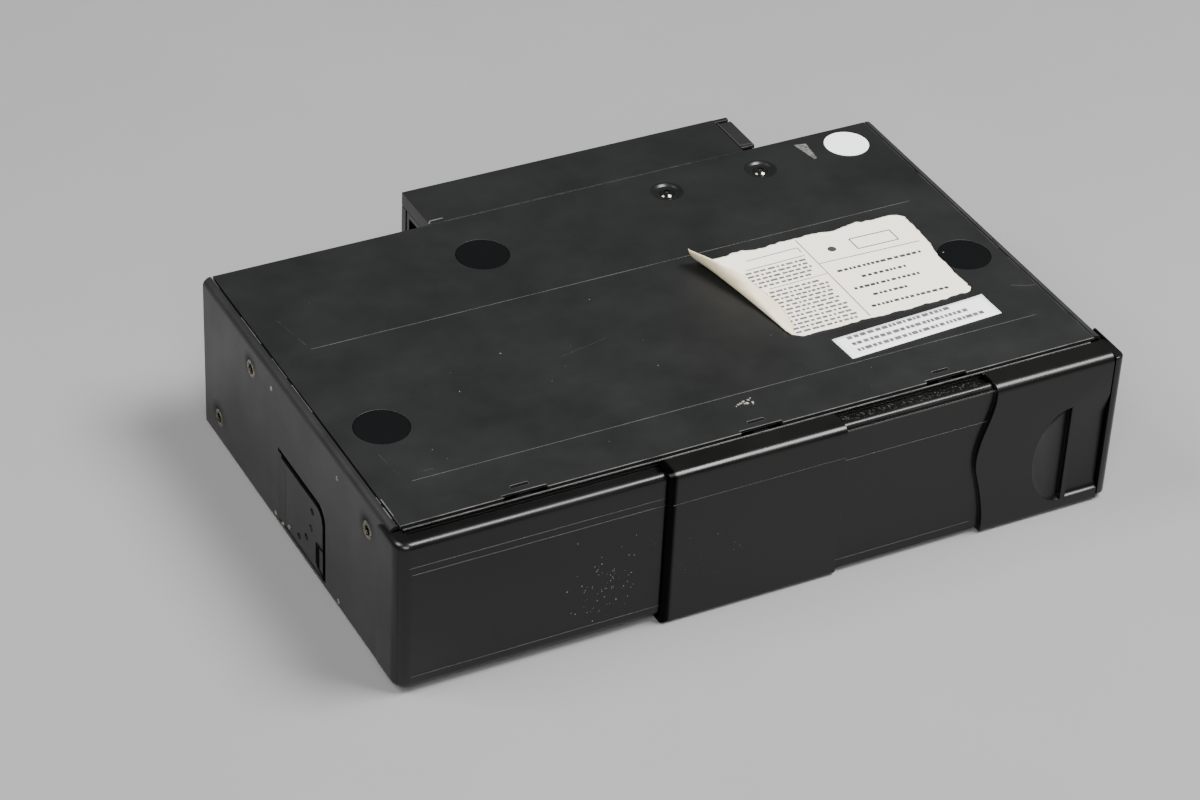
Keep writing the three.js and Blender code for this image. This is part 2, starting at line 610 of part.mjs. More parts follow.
function rearBox() {
  const r = rear;
  const H = height;
  const lidUnder = plateUnder;
  const wallTop = H - r.lip - gap;
  const stripFront = rearFront + r.stripInset / 2;
  const socketLow = wallTop - gap - socket.high;
  const shell = block([r.left, rearRight], [rearFront, rearBack], [r.bottom, lidUnder - gap]);
  const inside = block([r.left + sheet, rearRight - sheet], [rearFront + sheet, rearBack - sheet],
    [r.bottom + sheet, H + over]);
  const lowerLeft = block([r.left - over, r.left + sheet + gap], [rearFront - over, rearBack + over],
    [wallTop, H + over]);
  const lowerBack = block([r.left - over, rearRight - r.strip], [rearBack - sheet - gap, rearBack + over],
    [wallTop, H + over]);
  const socketHole = block([r.left - over, r.left + sheet + over],
    [rearFront + socket.front - gap, rearFront + socket.front + socket.deep + gap],
    [socketLow - gap, wallTop + over]);
  const stripY = [stripFront, rearBack - r.stripInset];
  const wallUp = block([rearRight - sheet, rearRight], stripY, [r.bottom, H]);
  const strip = block([rearRight - r.strip, rearRight], stripY, [lidUnder, H]);
  const middle = mid([rearFront, rearBack]);
  const posts = [r.left + 4 * r.strip, rearRight - 2 * r.strip].map((x) =>
    bar("z", link.standoffRadius, [r.bottom + sheet / 2, link.up - gap], [x, middle], smallSides));
  const housing = join(cut(shell, inside, lowerLeft, lowerBack, socketHole), wallUp, strip, ...posts);
  add("rear_housing", housing, "blackSteel");

  const lidRight = rearRight - r.strip - gap;
  const lid = block([r.left, lidRight], [rearFront, rearBack], [lidUnder, H]);
  const leftLip = block([r.left, r.left + sheet], [rearFront, rearBack], [H - r.lip, H]);
  const backLip = block([r.left, lidRight], [rearBack - sheet, rearBack], [H - r.lip, H]);
  add("rear_cover", join(lid, leftLip, backLip), "blackSteel");

  const s = socket;
  const sy = [rearFront + s.front, rearFront + s.front + s.deep];
  const left = r.left + gap;
  const top = wallTop - gap;
  const shellBlock = block([left, left + s.long], sy, [socketLow, top]);
  const mouth = block([left - over, left + s.hollow],
    [sy[0] + s.wall, sy[1] - s.wall], [socketLow + s.wall, top - s.wall]);
  add("rear_connector", cut(shellBlock, mouth), "blackPlastic");

  const baseRight = left + s.hollow - gap;
  const baseLeft = baseRight - pins.base;
  const pinBase = block([baseLeft, baseRight], [sy[0] + s.wall + gap, sy[1] - s.wall - gap],
    [socketLow + s.wall + gap, top - s.wall - gap]);
  const pinShapes = Array.from({ length: pins.rows * 2 }, (_, k) => {
    const z = mid([socketLow, top]) + (Math.floor(k / 2) - (pins.rows - 1) / 2) * pins.pitch;
    const y = mid(sy) + (k % 2 ? pins.pitch / 2 : -pins.pitch / 2);
    return block([baseLeft - pins.long, baseLeft + pins.base / 2], [y - pins.half, y + pins.half],
      [z - pins.half, z + pins.half]);
  });
  add("connector_pins", join(pinBase, ...pinShapes), "brass");

  const edge = link.edge;
  const linkBoard = block([r.left + link.inset, rearRight - edge], [rearFront + edge, rearBack - edge],
    [link.up, link.up + link.thick]);
  const chips = [0.35, 0.7].map((share) => {
    const x = r.left + share * (rearRight - r.left);
    return block([x, x + link.chipWide], [middle - link.chipWide / 3, middle + link.chipWide / 3],
      [link.up, link.up + link.thick + link.chipHigh]);
  });
  add("interface_board", join(linkBoard, ...chips), "board");
}

// Side window: pressed plate with its arc of holes, and the lever behind it

function angleSetting() {
  const w = sideWindow;
  const a = anglePlate;
  const outerX = -half + w.deep;
  const innerX = outerX + a.thick;
  const front = w.front + a.frontRoom;
  const back = w.back - gap;
  const bent = outline([
    [outerX, front], [innerX, front], [innerX, back - w.slope], [-half + sheet + gap, back],
    [-half + sheet / 2, back], [outerX, back - w.slope],
  ]);
  const pressed = prism(bent, "z", [w.bottom + gap, w.top - a.topRoom]);
  const corner = prism(windowOutline(), "x", [-half - over, innerX + over])
    .translate([0, a.frontRoom, -a.topRoom]);
  const holes = Array.from({ length: angleHoles.count }, (_, k) => {
    const angle = ((angleHoles.first + angleHoles.step * k) * Math.PI) / 180;
    const y = a.pivotBehind + a.ringRadius * Math.cos(angle);
    const z = a.pivotUp + a.ringRadius * Math.sin(angle);
    return bar("x", a.holeRadius, [outerX - over, innerX + over], [y, z], smallSides);
  });
  const t = tab;
  const slits = [
    block([outerX - over, innerX + over], [t.front - t.slit, t.back], [t.high - t.slit, t.high]),
    block([outerX - over, innerX + over], [t.back - t.slit, t.back], [t.low, t.high]),
  ];
  const stud = bar("x", a.studRadius, [innerX - gap, innerX + 2 * gap + angleLever.thick + sheet],
    [a.pivotBehind, a.pivotUp], roundSides);
  add("angle_plate", join(cut(pressed.intersect(corner), ...holes, ...slits), stud), "blackSteel");

  const l = angleLever;
  const x = [innerX + gap, innerX + gap + l.thick];
  const first = ((angleHoles.first + angleHoles.step) * Math.PI) / 180;
  const toHole = [Math.cos(first), Math.sin(first)];
  const side = [-toHole[1] * (l.armWidth / 2), toHole[0] * (l.armWidth / 2)];
  const tip = [toHole[0] * l.long, toHole[1] * l.long];
  const armCorners = [
    side, [tip[0] + side[0] / 2, tip[1] + side[1] / 2],
    [tip[0] - side[0] / 2, tip[1] - side[1] / 2], [-side[0], -side[1]],
  ];
  const arm = outline(armCorners.map(([y, z]) => [a.pivotBehind + y, a.pivotUp + z]));
  const hub = bar("x", l.hubRadius, x, [a.pivotBehind, a.pivotUp]);
  const peg = bar("x", l.pegRadius, [x[0] - gap / 2, x[1]],
    [a.pivotBehind + toHole[0] * a.ringRadius, a.pivotUp + toHole[1] * a.ringRadius], smallSides);
  const bore = bar("x", a.studRadius + running, [x[0] - over, x[1] + over], [a.pivotBehind, a.pivotUp]);
  add("angle_lever", cut(join(hub, prism(arm, "x", x), peg), bore), "whitePlastic");
}

// Threaded inserts pressed into the sides

function inserts() {
  const i = insert;
  const profile = [
    [i.bore, 0], [i.radius, 0], [i.radius, sheet + running], [i.flangeRadius, sheet + running],
    [i.flangeRadius, sheet + i.flangeThick], [i.radius, sheet + i.flangeThick], [i.radius, i.long],
    [i.bore, i.long], [i.bore, 0],
  ];
  const nut = turned(profile, smallSides);
  insertPlaces.forEach(([y, z], k) => {
    add(`insert_${k + 1}`, nut, "brass", [-half + gap, y, z], [0, Math.PI / 2, 0]);
    add(`insert_${k + 4}`, nut, "brass", [half - gap, y, z], [0, -Math.PI / 2, 0]);
  });
}

// Paper label, its left edge rolled up into a tapering curl

function paperLabel() {
  const l = label;
  const c = labelCurl;
  const right = plateHalf - l.inset;
  const frontX = right - l.wide;
  const backX = frontX - c.lean;
  const back = l.front + l.deep;
  const z0 = height + running;
  const flatTop = z0 + l.thick;
  const flat = prism(outline([[frontX, l.front], [right, l.front], [right, back], [backX, back]]),
    "z", [z0, flatTop]);
  const from = new THREE.Vector3(frontX, l.front, z0 + c.frontRadius);
  const to = new THREE.Vector3(backX, back, z0 + c.backRadius);
  const long = from.distanceTo(to);
  const up = new THREE.Vector3(0, 1, 0);
  const turn = new THREE.Quaternion().setFromUnitVectors(up, to.clone().sub(from).normalize());
  const cone = (thinner, extra) => {
    const slope = (c.backRadius - c.frontRadius) / long;
    const shape = new THREE.CylinderGeometry(c.backRadius - thinner + slope * extra,
      c.frontRadius - thinner - slope * extra, long + 2 * extra, roundSides);
    return solid(shape.translate(0, long / 2, 0).applyQuaternion(turn).translate(from.x, from.y, from.z));
  };
  const above = block([backX - 2 * c.backRadius, right], [0, depth], [z0, z0 + 3 * c.backRadius]);
  const open = prism(outline([
    [frontX + c.root, l.front - over], [right, l.front - over],
    [right, back + over], [backX + c.root, back + over],
  ]), "z", [flatTop, z0 + c.openHigh]);
  const roll = cut(cone(0, 0), cone(l.thick, over), open).intersect(above);
  add("paper_label", join(flat, roll), "paper");
}

// Floating frame that carries the mechanism, and the magazine bay's top

function mechanismFrame() {
  const f = frame;
  const g = frameFlange;
  const w = clampWindow;
  const plain = block([-frameLeft, frameRight], [f.front, frameBack], [f.bottom, frameTop]);
  const floor = cut(plain, block([spindleX - w.behind, spindleX + w.ahead],
    [discY - w.halfWide, discY + w.halfWide], [f.bottom - over, frameTop + over]));
  const flangeZ = [frameHigh - f.wall, frameHigh];
  const left = block([-frameLeft, -frameLeft + f.wall], [f.front, frameBack], [f.bottom, frameHigh]);
  const back = block([-frameLeft, frameRight - g.rightInset], [frameBack - f.wall, frameBack],
    [f.bottom, frameHigh]);
  const leftFlange = block([-frameLeft, -frameLeft + g.leftWide], [f.front, frameBack], flangeZ);
  const backFlange = block([-frameLeft, trayLeft - g.backInset], [frameBack - g.backDeep, frameBack],
    flangeZ);
  const right = block([frameRight - f.wall, frameRight], [guideTab.front, magBack - g.rightEnd],
    [f.bottom, bayZ - gap]);
  const rodHole = block([rodMiddleX - button.rodWide / 2 - gap, rodMiddleX + button.rodWide / 2 + gap],
    [guideTab.front - over, guideTab.front + guideTab.thick + over],
    [button.rodLow - gap, button.rodHigh + gap]);
  const rodGuide = cut(block([frameRight - f.wall, frameRight + guideTab.reach],
    [guideTab.front, guideTab.front + guideTab.thick], [guideTab.low, guideTab.high]), rodHole);
  const rails = [magLeft + rail.inset, magRight - rail.inset - rail.wide].map((x) =>
    block([x, x + rail.wide], [mag.front + rail.inset, magBack - rail.inset],
      [frameTop - running, magBottom - gap]));
  const stud = bar("z", lever.studRadius, [frameTop - running, button.rodLow - gap], [leverX, leverY]);
  const neckTop = button.rodHigh + gap + returnSpring.high;
  const neck = bar("z", lever.neckRadius, [frameTop, neckTop], [leverX, leverY]);
  const shape = join(floor, left, back, leftFlange, backFlange, right, rodGuide, ...rails, stud, neck);
  const postSeats = postPlaces.map(([x, y]) =>
    bar("z", post.radius + running, [frameTop - f.thick / 2, frameHigh + over], [x, y], smallSides));
  const screwSeat = bar("z", screw.radius + running, [frameHigh - f.wall - over, frameHigh + over],
    [screwX, screwY]);
  add("mechanism_frame", cut(shape, ...postSeats, screwSeat), "zinc");

  const t = bayTop;
  const boardX = [bayLeft + board.lead, frameRight - board.side];
  const boardY = [board.front, depth - board.backInset - sheet * 2];
  const top = block([bayLeft, frameRight], [t.front, frameBack - f.wall - gap], [bayZ, bayZ + t.thick]);
  const bosses = dimplePlaces.map(([x, y]) =>
    bar("z", t.bossRadius, [bayZ, height - dimple.deep - sheet - gap], [x, y]));
  const boardPosts = [boardX[0] + board.holeInset, boardX[1] - board.holeInset].flatMap((x) =>
    [boardY[0] + board.holeInset, boardY[1] - board.holeInset].map((y) =>
      bar("z", board.standoffRadius, [bayZ, boardZ - gap], [x, y], smallSides)));
  const holes = dimplePlaces.map(([x, y]) =>
    bar("z", transportScrew.radius + gap, [bayZ + t.thick, height], [x, y], smallSides));
  add("bay_top", cut(join(top, ...bosses, ...boardPosts), ...holes), "zinc");

  const b = board;
  const pcb = block(boardX, boardY, [boardZ, boardZ + b.thick]);
  const face = boardZ + b.thick;
  const chipX = mid(boardX);
  const chips = [0.25, 0.6].map((share) => {
    const y = boardY[0] + share * (boardY[1] - boardY[0]);
    return block([chipX, chipX + parts.chipWide], [y, y + parts.chipWide], [boardZ, face + parts.chipHigh]);
  });
  const cans = [0.2, 0.35, 0.5].map((share) =>
    bar("z", parts.canRadius, [boardZ, face + parts.canHigh],
      [boardX[0] + parts.chipWide, boardY[0] + share * (boardY[1] - boardY[0])], smallSides));
  const sink = block([boardX[1] - parts.chipWide, boardX[1] - parts.chipWide / 2],
    [boardY[1] - parts.heatSinkLong * 2, boardY[1] - parts.heatSinkLong],
    [boardZ, face + parts.heatSinkHigh]);
  add("main_board", join(pcb, ...chips, ...cans, sink), "board");
}

// Magazine and its trays

function magazine() {
  const m = mag;
  const outer = block([magLeft, magRight], [m.front, magBack], [magBottom, magTop]);
  const wide = [trayFront - gap, trayBack + gap];
  const hollow = block([magLeft - over, magRight - magWall.thick],
    [wide[0] + magWall.ledge, wide[1] - magWall.ledge],
    [magBottom + magWall.thick, magTop - magWall.thick]);
  const slots = trayLevels.map((z) =>
    block([magLeft - over, trayRight + gap], wide, [z - slotHalf, z + slotHalf]));
  const p = pull;
  const handle = block([magLeft + p.margin, magRight - p.margin], [m.front - p.proud, m.front + over],
    [p.low, p.high]);
  add("magazine_case", join(cut(outer, hollow, ...slots), handle), "greyPlastic");

  const t = tray;
  const y = [trayFront, trayBack];
  const sheetShape = block([trayLeft, trayRight], y, [-trayHalf, trayHalf]);
  const recess = bar("z", recessRadius, [-trayHalf - over, -trayHalf + t.recess], [discX, discY],
    wideSides);
  const centre = bar("z", t.holeRadius, [-over * 2, over * 2], [discX, discY]);
  const slot = block([discX - t.holeRadius, discX + t.holeRadius], [y[0] + t.slotMargin, discY],
    [-over * 2, over * 2]);
  const e = trayEar;
  const ear = block([trayLeft, trayLeft + e.wide], [y[1] - over, y[1] + e.proud], [-trayHalf, trayHalf]);
  const notch = block([trayLeft + e.wide / 2 - e.notchWide / 2, trayLeft + e.wide / 2 + e.notchWide / 2],
    [y[1] + e.proud - e.notchDeep, y[1] + e.proud + over], [-over * 2, over * 2]);
  const trayShape = cut(join(sheetShape, ear), recess, centre, slot, notch);
  trayLevels.forEach((z, k) => add(`tray_${k + 1}`, trayShape, "tray", [0, 0, z]));
}

// Player deck with its bearings, window and the ears of the clamp

function liftDeck() {
  const d = deck;
  const g = guide;
  const main = block([-deckLeft, deckRight], [d.front, deckBack], [deckZ, deckTop]);
  const strip = block([deckRight - over, stripRight], [deckBack - deckStrip.deep, deckBack],
    [deckZ, deckTop]);
  const bosses = postPlaces.map(([x, y]) =>
    bar("z", post.bossRadius, [deckZ, deckTop + post.bossHigh], [x, y], smallSides));
  const nut = bar("z", screw.bossRadius, [deckZ, deckTop + post.bossHigh], [screwX, screwY], smallSides);
  const bracket = block([stripRight - trayScrew.bracket, stripRight],
    [pusherFront, trayScrewY + guide.tabWide / 2], [topLevel - trayScrew.bracketBelow, deckZ + running]);
  const tabs = [-g.offset, g.offset].flatMap((x) => [guideFront, guideBack].map((y) =>
    block([spindleX + x - g.tabWide / 2, spindleX + x + g.tabWide / 2], [y, y + g.tab],
      [deckZ, guideZ + g.radius * 2])));
  const c = clampHinge;
  const ears = [discY - c.halfSpan - c.ear, discY + c.halfSpan].map((y) =>
    block([hingeX - c.earWide / 2, hingeX + c.earWide / 2], [y, y + c.ear],
      [clampZ - c.barrel, deckZ + running]));
  const cutters = [
    ...postPlaces.map(([x, y]) => bar("z", post.radius + running, [deckZ - over, frameHigh], [x, y])),
    bar("z", screw.radius + running, [deckZ - over, frameHigh], [screwX, screwY]),
    block([spindleX - sled.wide / 2 - over, spindleX + sled.wide / 2 + over],
      [sledFront - sledTravel - over, sledFront + sled.deep + over], [deckZ - over, deckTop + over]),
    bar("z", spindleShaft.holeRadius, [deckZ - over, deckTop + over], [spindleX, discY]),
    bar("x", trayScrew.radius + running, [stripRight - trayScrew.bracket - over, stripRight + over],
      [trayScrewY, trayScrewZ], smallSides),
    ...[-g.offset, g.offset].map((x) =>
      bar("y", g.radius + running, [guideFront - over, guideBack + g.tab + over], [spindleX + x, guideZ],
        smallSides)),
    bar("y", c.pin + running, [discY - c.halfSpan - 2 * c.ear, discY + c.halfSpan + 2 * c.ear],
      [hingeX, clampZ], smallSides),
  ];
  add("lift_deck", cut(join(main, strip, bracket, nut, ...bosses, ...tabs, ...ears), ...cutters), "zinc");
}

// Lift: guide posts, screw, belt and motor

function lift() {
  const top = frameHigh - running;
  const foot = frameTop - frame.thick / 2 + running;
  const rod = bar("z", post.radius, [foot, top], [0, 0], roundSides);
  postPlaces.forEach(([x, y], k) => add(`guide_post_${k + 1}`, rod, "steel", [x, y, 0]));

  const s = screw;
  const pulley = [frameTop + s.pulleyUp, frameTop + s.pulleyUp + s.pulleyHigh];
  const bottom = frameTop + gap;
  add("lift_screw", turned([
    [0, bottom], [s.radius, bottom], [s.radius, pulley[0]], [s.pulleyRadius, pulley[0]],
    [s.pulleyRadius, pulley[1]], [s.radius, pulley[1]], [s.radius, top], [0, top],
  ]), "steel", [screwX, screwY, 0]);

  const m = liftMotor;
  const motorLow = pulley[1] + m.up;
  const motorHigh = motorLow + m.high;
  const motorBack = frameBack - frame.wall - gap;
  const seat = block([liftMotorX - m.radius, liftMotorX + m.radius], [motorBack - m.mount, motorBack],
    [motorLow, motorHigh]);
  const can = bar("z", m.radius, [motorLow, motorHigh], [liftMotorX, motorBack - m.radius]);
  const bore = bar("z", m.shaftRadius + running, [motorLow - over, motorHigh - over],
    [liftMotorX, screwY], smallSides);
  add("lift_motor", cut(join(can, seat), bore), "steel");
  add("motor_pulley", turned([
    [0, pulley[0]], [s.pulleyRadius, pulley[0]], [s.pulleyRadius, pulley[1]], [m.shaftRadius, pulley[1]],
    [m.shaftRadius, motorHigh - 2 * over], [0, motorHigh - 2 * over],
  ]), "brass", [liftMotorX, screwY, 0]);

  const inner = s.pulleyRadius + gap;
  const range = [pulley[0] + gap / 2, pulley[1] - gap / 2];
  const loop = stadium(screwX, liftMotorX, screwY, inner + belt.thick);
  loop.holes.push(stadium(screwX, liftMotorX, screwY, inner));
  add("lift_belt", prism(loop, "z", range), "rubber");
}

// Spindle, pickup and clamp on the deck

function player() {
  const s = spindle;
  const motorFoot = deckTop + gap;
  const shaftTop = motorFoot + s.motorHigh / 2;
  add("spindle_motor", turned([
    [spindleShaft.radius + running, motorFoot], [s.motorRadius, motorFoot],
    [s.motorRadius, motorFoot + s.motorHigh], [0, motorFoot + s.motorHigh], [0, shaftTop + gap],
    [spindleShaft.radius + running, shaftTop + gap], [spindleShaft.radius + running, motorFoot],
  ], roundSides), "steel", [spindleX, discY, 0]);
  const face = topLevel + trayHalf + gap;
  const rim = face + s.bossHigh;
  add("turntable", turned([
    [0, face], [s.bossRadius - s.bossHigh, face], [s.bossRadius, rim], [s.tableRadius, rim],
    [s.tableRadius, rim + s.tableHigh], [spindleShaft.radius, rim + s.tableHigh],
    [spindleShaft.radius, shaftTop], [0, shaftTop],
  ]), "blackPlastic", [spindleX, discY, 0]);

  const p = sled;
  const g = guide;
  const y = [sledFront, sledFront + p.deep];
  const sledLow = topLevel + p.above;
  const lower = block([spindleX - p.wide / 2, spindleX + p.wide / 2], y, [sledLow, wingLow + over]);
  const wings = block([spindleX - p.wingWide / 2, spindleX + p.wingWide / 2], y,
    [wingLow, wingLow + p.wingHigh]);
  const lens = bar("z", p.lensRadius, [sledLow - gap, sledLow + over], [spindleX, lensY], smallSides);
  const bores = [-g.offset, g.offset].map((x) =>
    bar("y", g.radius + running, [y[0] - over, y[1] + over], [spindleX + x, guideZ]));
  add("pickup_sled", cut(join(lower, wings, lens), ...bores), "blackPlastic");
  const span = [guideFront, guideBack + g.tab];
  add("sled_rod", bar("y", g.radius, span, [spindleX - g.offset, guideZ], roundSides), "steel");
  add("sled_screw", bar("y", g.radius, span, [spindleX + g.offset, guideZ], roundSides), "steel");
  const motorY = [span[1] + gap, span[1] + gap + sledMotor.long];
  add("sled_motor", bar("y", sledMotor.radius, motorY, [spindleX + g.offset, guideZ]), "steel");

  const c = clamp;
  const h = clampHinge;
  const tip = spindleX + c.armWide / 2;
  const armZ = [clampZ - c.armThick / 2, clampZ + c.armThick / 2];
  const arm = block([hingeX, tip], [discY - c.armWide / 2, discY + c.armWide / 2], armZ);
  const barrel = bar("y", h.barrel, [discY - h.halfSpan + gap, discY + h.halfSpan - gap],
    [hingeX, clampZ], smallSides);
  const pin = bar("y", h.pin, [discY - h.halfSpan - h.ear, discY + h.halfSpan + h.ear],
    [hingeX, clampZ], smallSides);
  const eye = bar("z", c.neckRadius + gap, [armZ[0] - over, armZ[1] + over], [spindleX, discY]);
  const ring = bar("z", c.armWide / 2 + over, armZ, [spindleX, discY]);
  add("clamp_arm", cut(join(arm, ring, barrel, pin), eye), "zinc");
  const low = armZ[0] - gap;
  const high = armZ[1] + gap;
  add("disc_clamp", turned([
    [0, low - h.under], [c.flangeRadius, low - h.under], [c.flangeRadius, low], [c.neckRadius, low],
    [c.neckRadius, high], [c.puckRadius, high], [c.puckRadius, high + c.puckHigh / 2],
    [c.flangeRadius, high + c.puckHigh], [0, high + c.puckHigh],
  ]), "whitePlastic", [spindleX, discY, 0]);
}

// Tray drive along the deck's rear edge

function trayDrive() {
  const p = pusher;
  const s = trayScrew;
  const x = [trayLeft, trayLeft + p.wide];
  const carriage = block(x, [pusherFront, pusherFront + p.deep], [topLevel - p.below, topLevel + p.above]);
  const hookFront = trayBack + trayEar.proud - trayEar.notchDeep + gap;
  const tongue = block([mid(x) - p.hook / 2, mid(x) + p.hook / 2], [hookFront, pusherFront + over],
    [topLevel - p.hookHigh / 2, topLevel + p.hookHigh / 2]);
  const bore = bar("x", s.radius + running, [x[0] - over, x[1] + over], [trayScrewY, trayScrewZ]);
  add("tray_pusher", cut(join(carriage, tongue), bore), "whitePlastic");
  const motorRight = trayLeft - disc.travel - trayMotor.play;
  const line = [trayScrewY, trayScrewZ];
  add("tray_motor", bar("x", trayMotor.radius, [motorRight - trayMotor.long, motorRight], line), "steel");
  add("tray_screw", bar("x", s.radius, [motorRight + gap, stripRight], line), "steel");
}

// Eject button, its lever and the lever's spring

function eject() {
  const b = button;
  const z = [b.rodLow, b.rodHigh];
  const head = block([rodMiddleX - b.wide / 2, rodMiddleX + b.wide / 2],
    [-b.front, -b.front + b.headDeep], [b.low, b.high]);
  const leverFront = leverY - lever.wide / 2;
  const rod = block([rodMiddleX - b.rodWide / 2, rodMiddleX + b.rodWide / 2],
    [-b.front + over, leverFront - gap], z);
  add("eject_button", join(head, rod), "greyPlastic");

  const l = lever;
  const noseFront = magBack + gap * 2;
  const shape = outline([
    [leverLeft, noseFront], [leverLeft + l.noseWide, noseFront], [leverLeft + 2 * l.wide, leverFront],
    [leverRight, leverFront], [leverRight, leverFront + l.wide], [leverLeft, leverFront + l.wide],
  ]);
  const hub = bar("z", l.hubRadius, z, [leverX, leverY]);
  const bore = bar("z", l.neckRadius + running, [z[0] - over, z[1] + over], [leverX, leverY]);
  add("eject_lever", cut(join(prism(shape, "z", z), hub), bore), "zinc");

  const r = returnSpring;
  const seat = z[1] + gap;
  add("eject_spring", turned([
    [r.inner, seat], [r.outer, seat], [r.outer, seat + r.high], [r.inner, seat + r.high], [r.inner, seat],
  ], smallSides), "steel", [leverX, leverY, 0]);
}

// Rubber dampers between the case's sides and the frame

function dampers() {
  const d = damper;
  const shapeFor = (long) => turned([
    [0, 0], [d.radius, 0], [d.radius, long / 4], [d.waist, long / 2], [d.radius, (3 * long) / 4],
    [d.radius, long], [0, long],
  ], smallSides);
  [d.front, depth - sheet - d.backInset].forEach((y, k) => {
    const left = shapeFor(d.leftLong - 2 * gap);
    const right = shapeFor(d.rightLong - 2 * gap);
    add(`damper_${k + 1}`, left, "rubber", [-innerSide + gap, y, d.up], [0, Math.PI / 2, 0]);
    add(`damper_${k + 3}`, right, "rubber", [innerSide - gap, y, d.up], [0, -Math.PI / 2, 0]);
  });
}

caseCover();
basePlate();
padsAndScrews();
frontBezel();
door();
rearBox();
angleSetting();
inserts();
paperLabel();
mechanismFrame();
magazine();
liftDeck();
lift();
player();
trayDrive();
eject();
dampers();

// The origin is the middle of the footprint
changer.position.y = -(rearBack - (bezel.front + endCap.proud)) / 2;

export default changer;
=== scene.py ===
"""Car disc changer lying upside down on a pale floor: its finishes, edges, label and stickers."""
import json
import math
import random

import bmesh
import bpy
from mathutils import Matrix, Vector, noise


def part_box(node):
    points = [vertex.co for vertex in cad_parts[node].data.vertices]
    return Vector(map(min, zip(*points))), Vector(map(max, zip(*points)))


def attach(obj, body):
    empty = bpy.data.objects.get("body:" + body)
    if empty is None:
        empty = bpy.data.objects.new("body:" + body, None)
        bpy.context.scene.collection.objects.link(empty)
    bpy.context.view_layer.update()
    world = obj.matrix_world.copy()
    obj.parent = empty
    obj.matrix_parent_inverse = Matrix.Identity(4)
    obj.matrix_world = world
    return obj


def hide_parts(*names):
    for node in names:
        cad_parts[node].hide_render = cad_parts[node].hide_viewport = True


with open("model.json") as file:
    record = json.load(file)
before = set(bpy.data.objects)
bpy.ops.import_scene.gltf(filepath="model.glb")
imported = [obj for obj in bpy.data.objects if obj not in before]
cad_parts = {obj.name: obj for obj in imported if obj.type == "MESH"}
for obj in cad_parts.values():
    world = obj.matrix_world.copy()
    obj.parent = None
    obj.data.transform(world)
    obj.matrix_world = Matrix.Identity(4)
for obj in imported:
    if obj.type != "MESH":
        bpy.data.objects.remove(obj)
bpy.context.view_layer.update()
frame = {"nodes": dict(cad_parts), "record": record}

mm = 0.001
nodes = frame["nodes"]

# Places are in mm in the case's own measures: x = 0 at the plate's middle, y = 0 at its front
# edge, z = 0 at the foot
plate_low, plate_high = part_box("base_plate")
front_edge = plate_low[1] / mm
plate_top = plate_high[2] / mm
plate_back = plate_high[1] / mm - front_edge
case_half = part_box("case_cover")[1][0] / mm
bezel_face, leaf_face, cover_face = 9, 10.1, 11.2  # how far each stands in front of the plate
bezel_left, cover_left, cover_right, leaf_left, leaf_right = -124.5, -38.2, 24.3, 24.8, 78.4
turn = 2 * math.pi


def at(x, y, z):
    """A place given in the case's own measures, as a point of the scene"""
    return Vector((x, y + front_edge, z)) * mm


# Shaping

def keep(bm, name, material, body="case", smooth=35, stands_for=()):
    """Turns a bmesh into a finished piece that rides on a body"""
    mesh = bpy.data.meshes.new(name)
    bm.to_mesh(mesh)
    bm.free()
    for layer in ("custom_normal", "sharp_face", "sharp_edge"):
        if layer in mesh.attributes:
            mesh.attributes.remove(mesh.attributes[layer])
    piece = bpy.data.objects.new(name, mesh)
    bpy.context.scene.collection.objects.link(piece)
    mesh.materials.clear()
    mesh.materials.append(material)
    mesh.shade_smooth()
    mesh.set_sharp_from_angle(angle=math.radians(smooth))
    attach(piece, body)
    if stands_for:
        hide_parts(*stands_for)
    return piece


def round_edges(piece, width, segments=3, angle=40):
    """Breaks the sharp edges of a piece by a small radius"""
    edge = piece.modifiers.new("broken edges", "BEVEL")
    edge.width = width * mm
    edge.segments = segments
    edge.limit_method = "ANGLE"
    edge.angle_limit = math.radians(angle)
    edge.harden_normals = True
    edge.use_clamp_overlap = True
    return piece


def screw_places():
    """Middle of each transport screw, in the case's own measures"""
    for k in (1, 2):
        low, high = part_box(f"transport_screw_{k}")
        yield k, (low[0] + high[0]) / 2 / mm, (low[1] + high[1]) / 2 / mm - front_edge, high[2] / mm


def steepen_dishes(bm):
    """Widens the floor of each screw dish, so that a rounded dish can lie in it"""
    floor_deep, floor_radius, widening = 1, 3, 1.3
    for _, x, y, _ in screw_places():
        middle = at(x, y, plate_top - floor_deep)
        for vert in bm.verts:
            away = vert.co - middle
            if abs(away.z) < 0.1 * mm and abs(away.length - floor_radius * mm) < 0.2 * mm:
                vert.co = middle + away * widening


def from_solid(node):
    """A merged copy of a solid's facets, with its flat faces joined up"""
    bm = bmesh.new()
    bm.from_mesh(nodes[node].data)
    bmesh.ops.remove_doubles(bm, verts=bm.verts, dist=0.002 * mm)
    if node == "base_plate":
        steepen_dishes(bm)
    bmesh.ops.dissolve_limit(bm, angle_limit=math.radians(0.6), verts=bm.verts, edges=bm.edges)
    return bm


def finished(node, material, body, edge, segments=3, smooth=35, angle=40):
    """The visible piece that stands for a solid, its edges broken"""
    piece = keep(from_solid(node), node + "_finished", material, body, smooth, (node,))
    return round_edges(piece, edge, segments, angle)


def add_block(bm, x, y, z):
    """A block between two ends along each axis"""
    low, high = at(x[0], y[0], z[0]), at(x[1], y[1], z[1])
    size = high - low
    place = Matrix.Translation((low + high) / 2) @ Matrix.Diagonal((*size, 1))
    bmesh.ops.create_cube(bm, size=1, matrix=place)


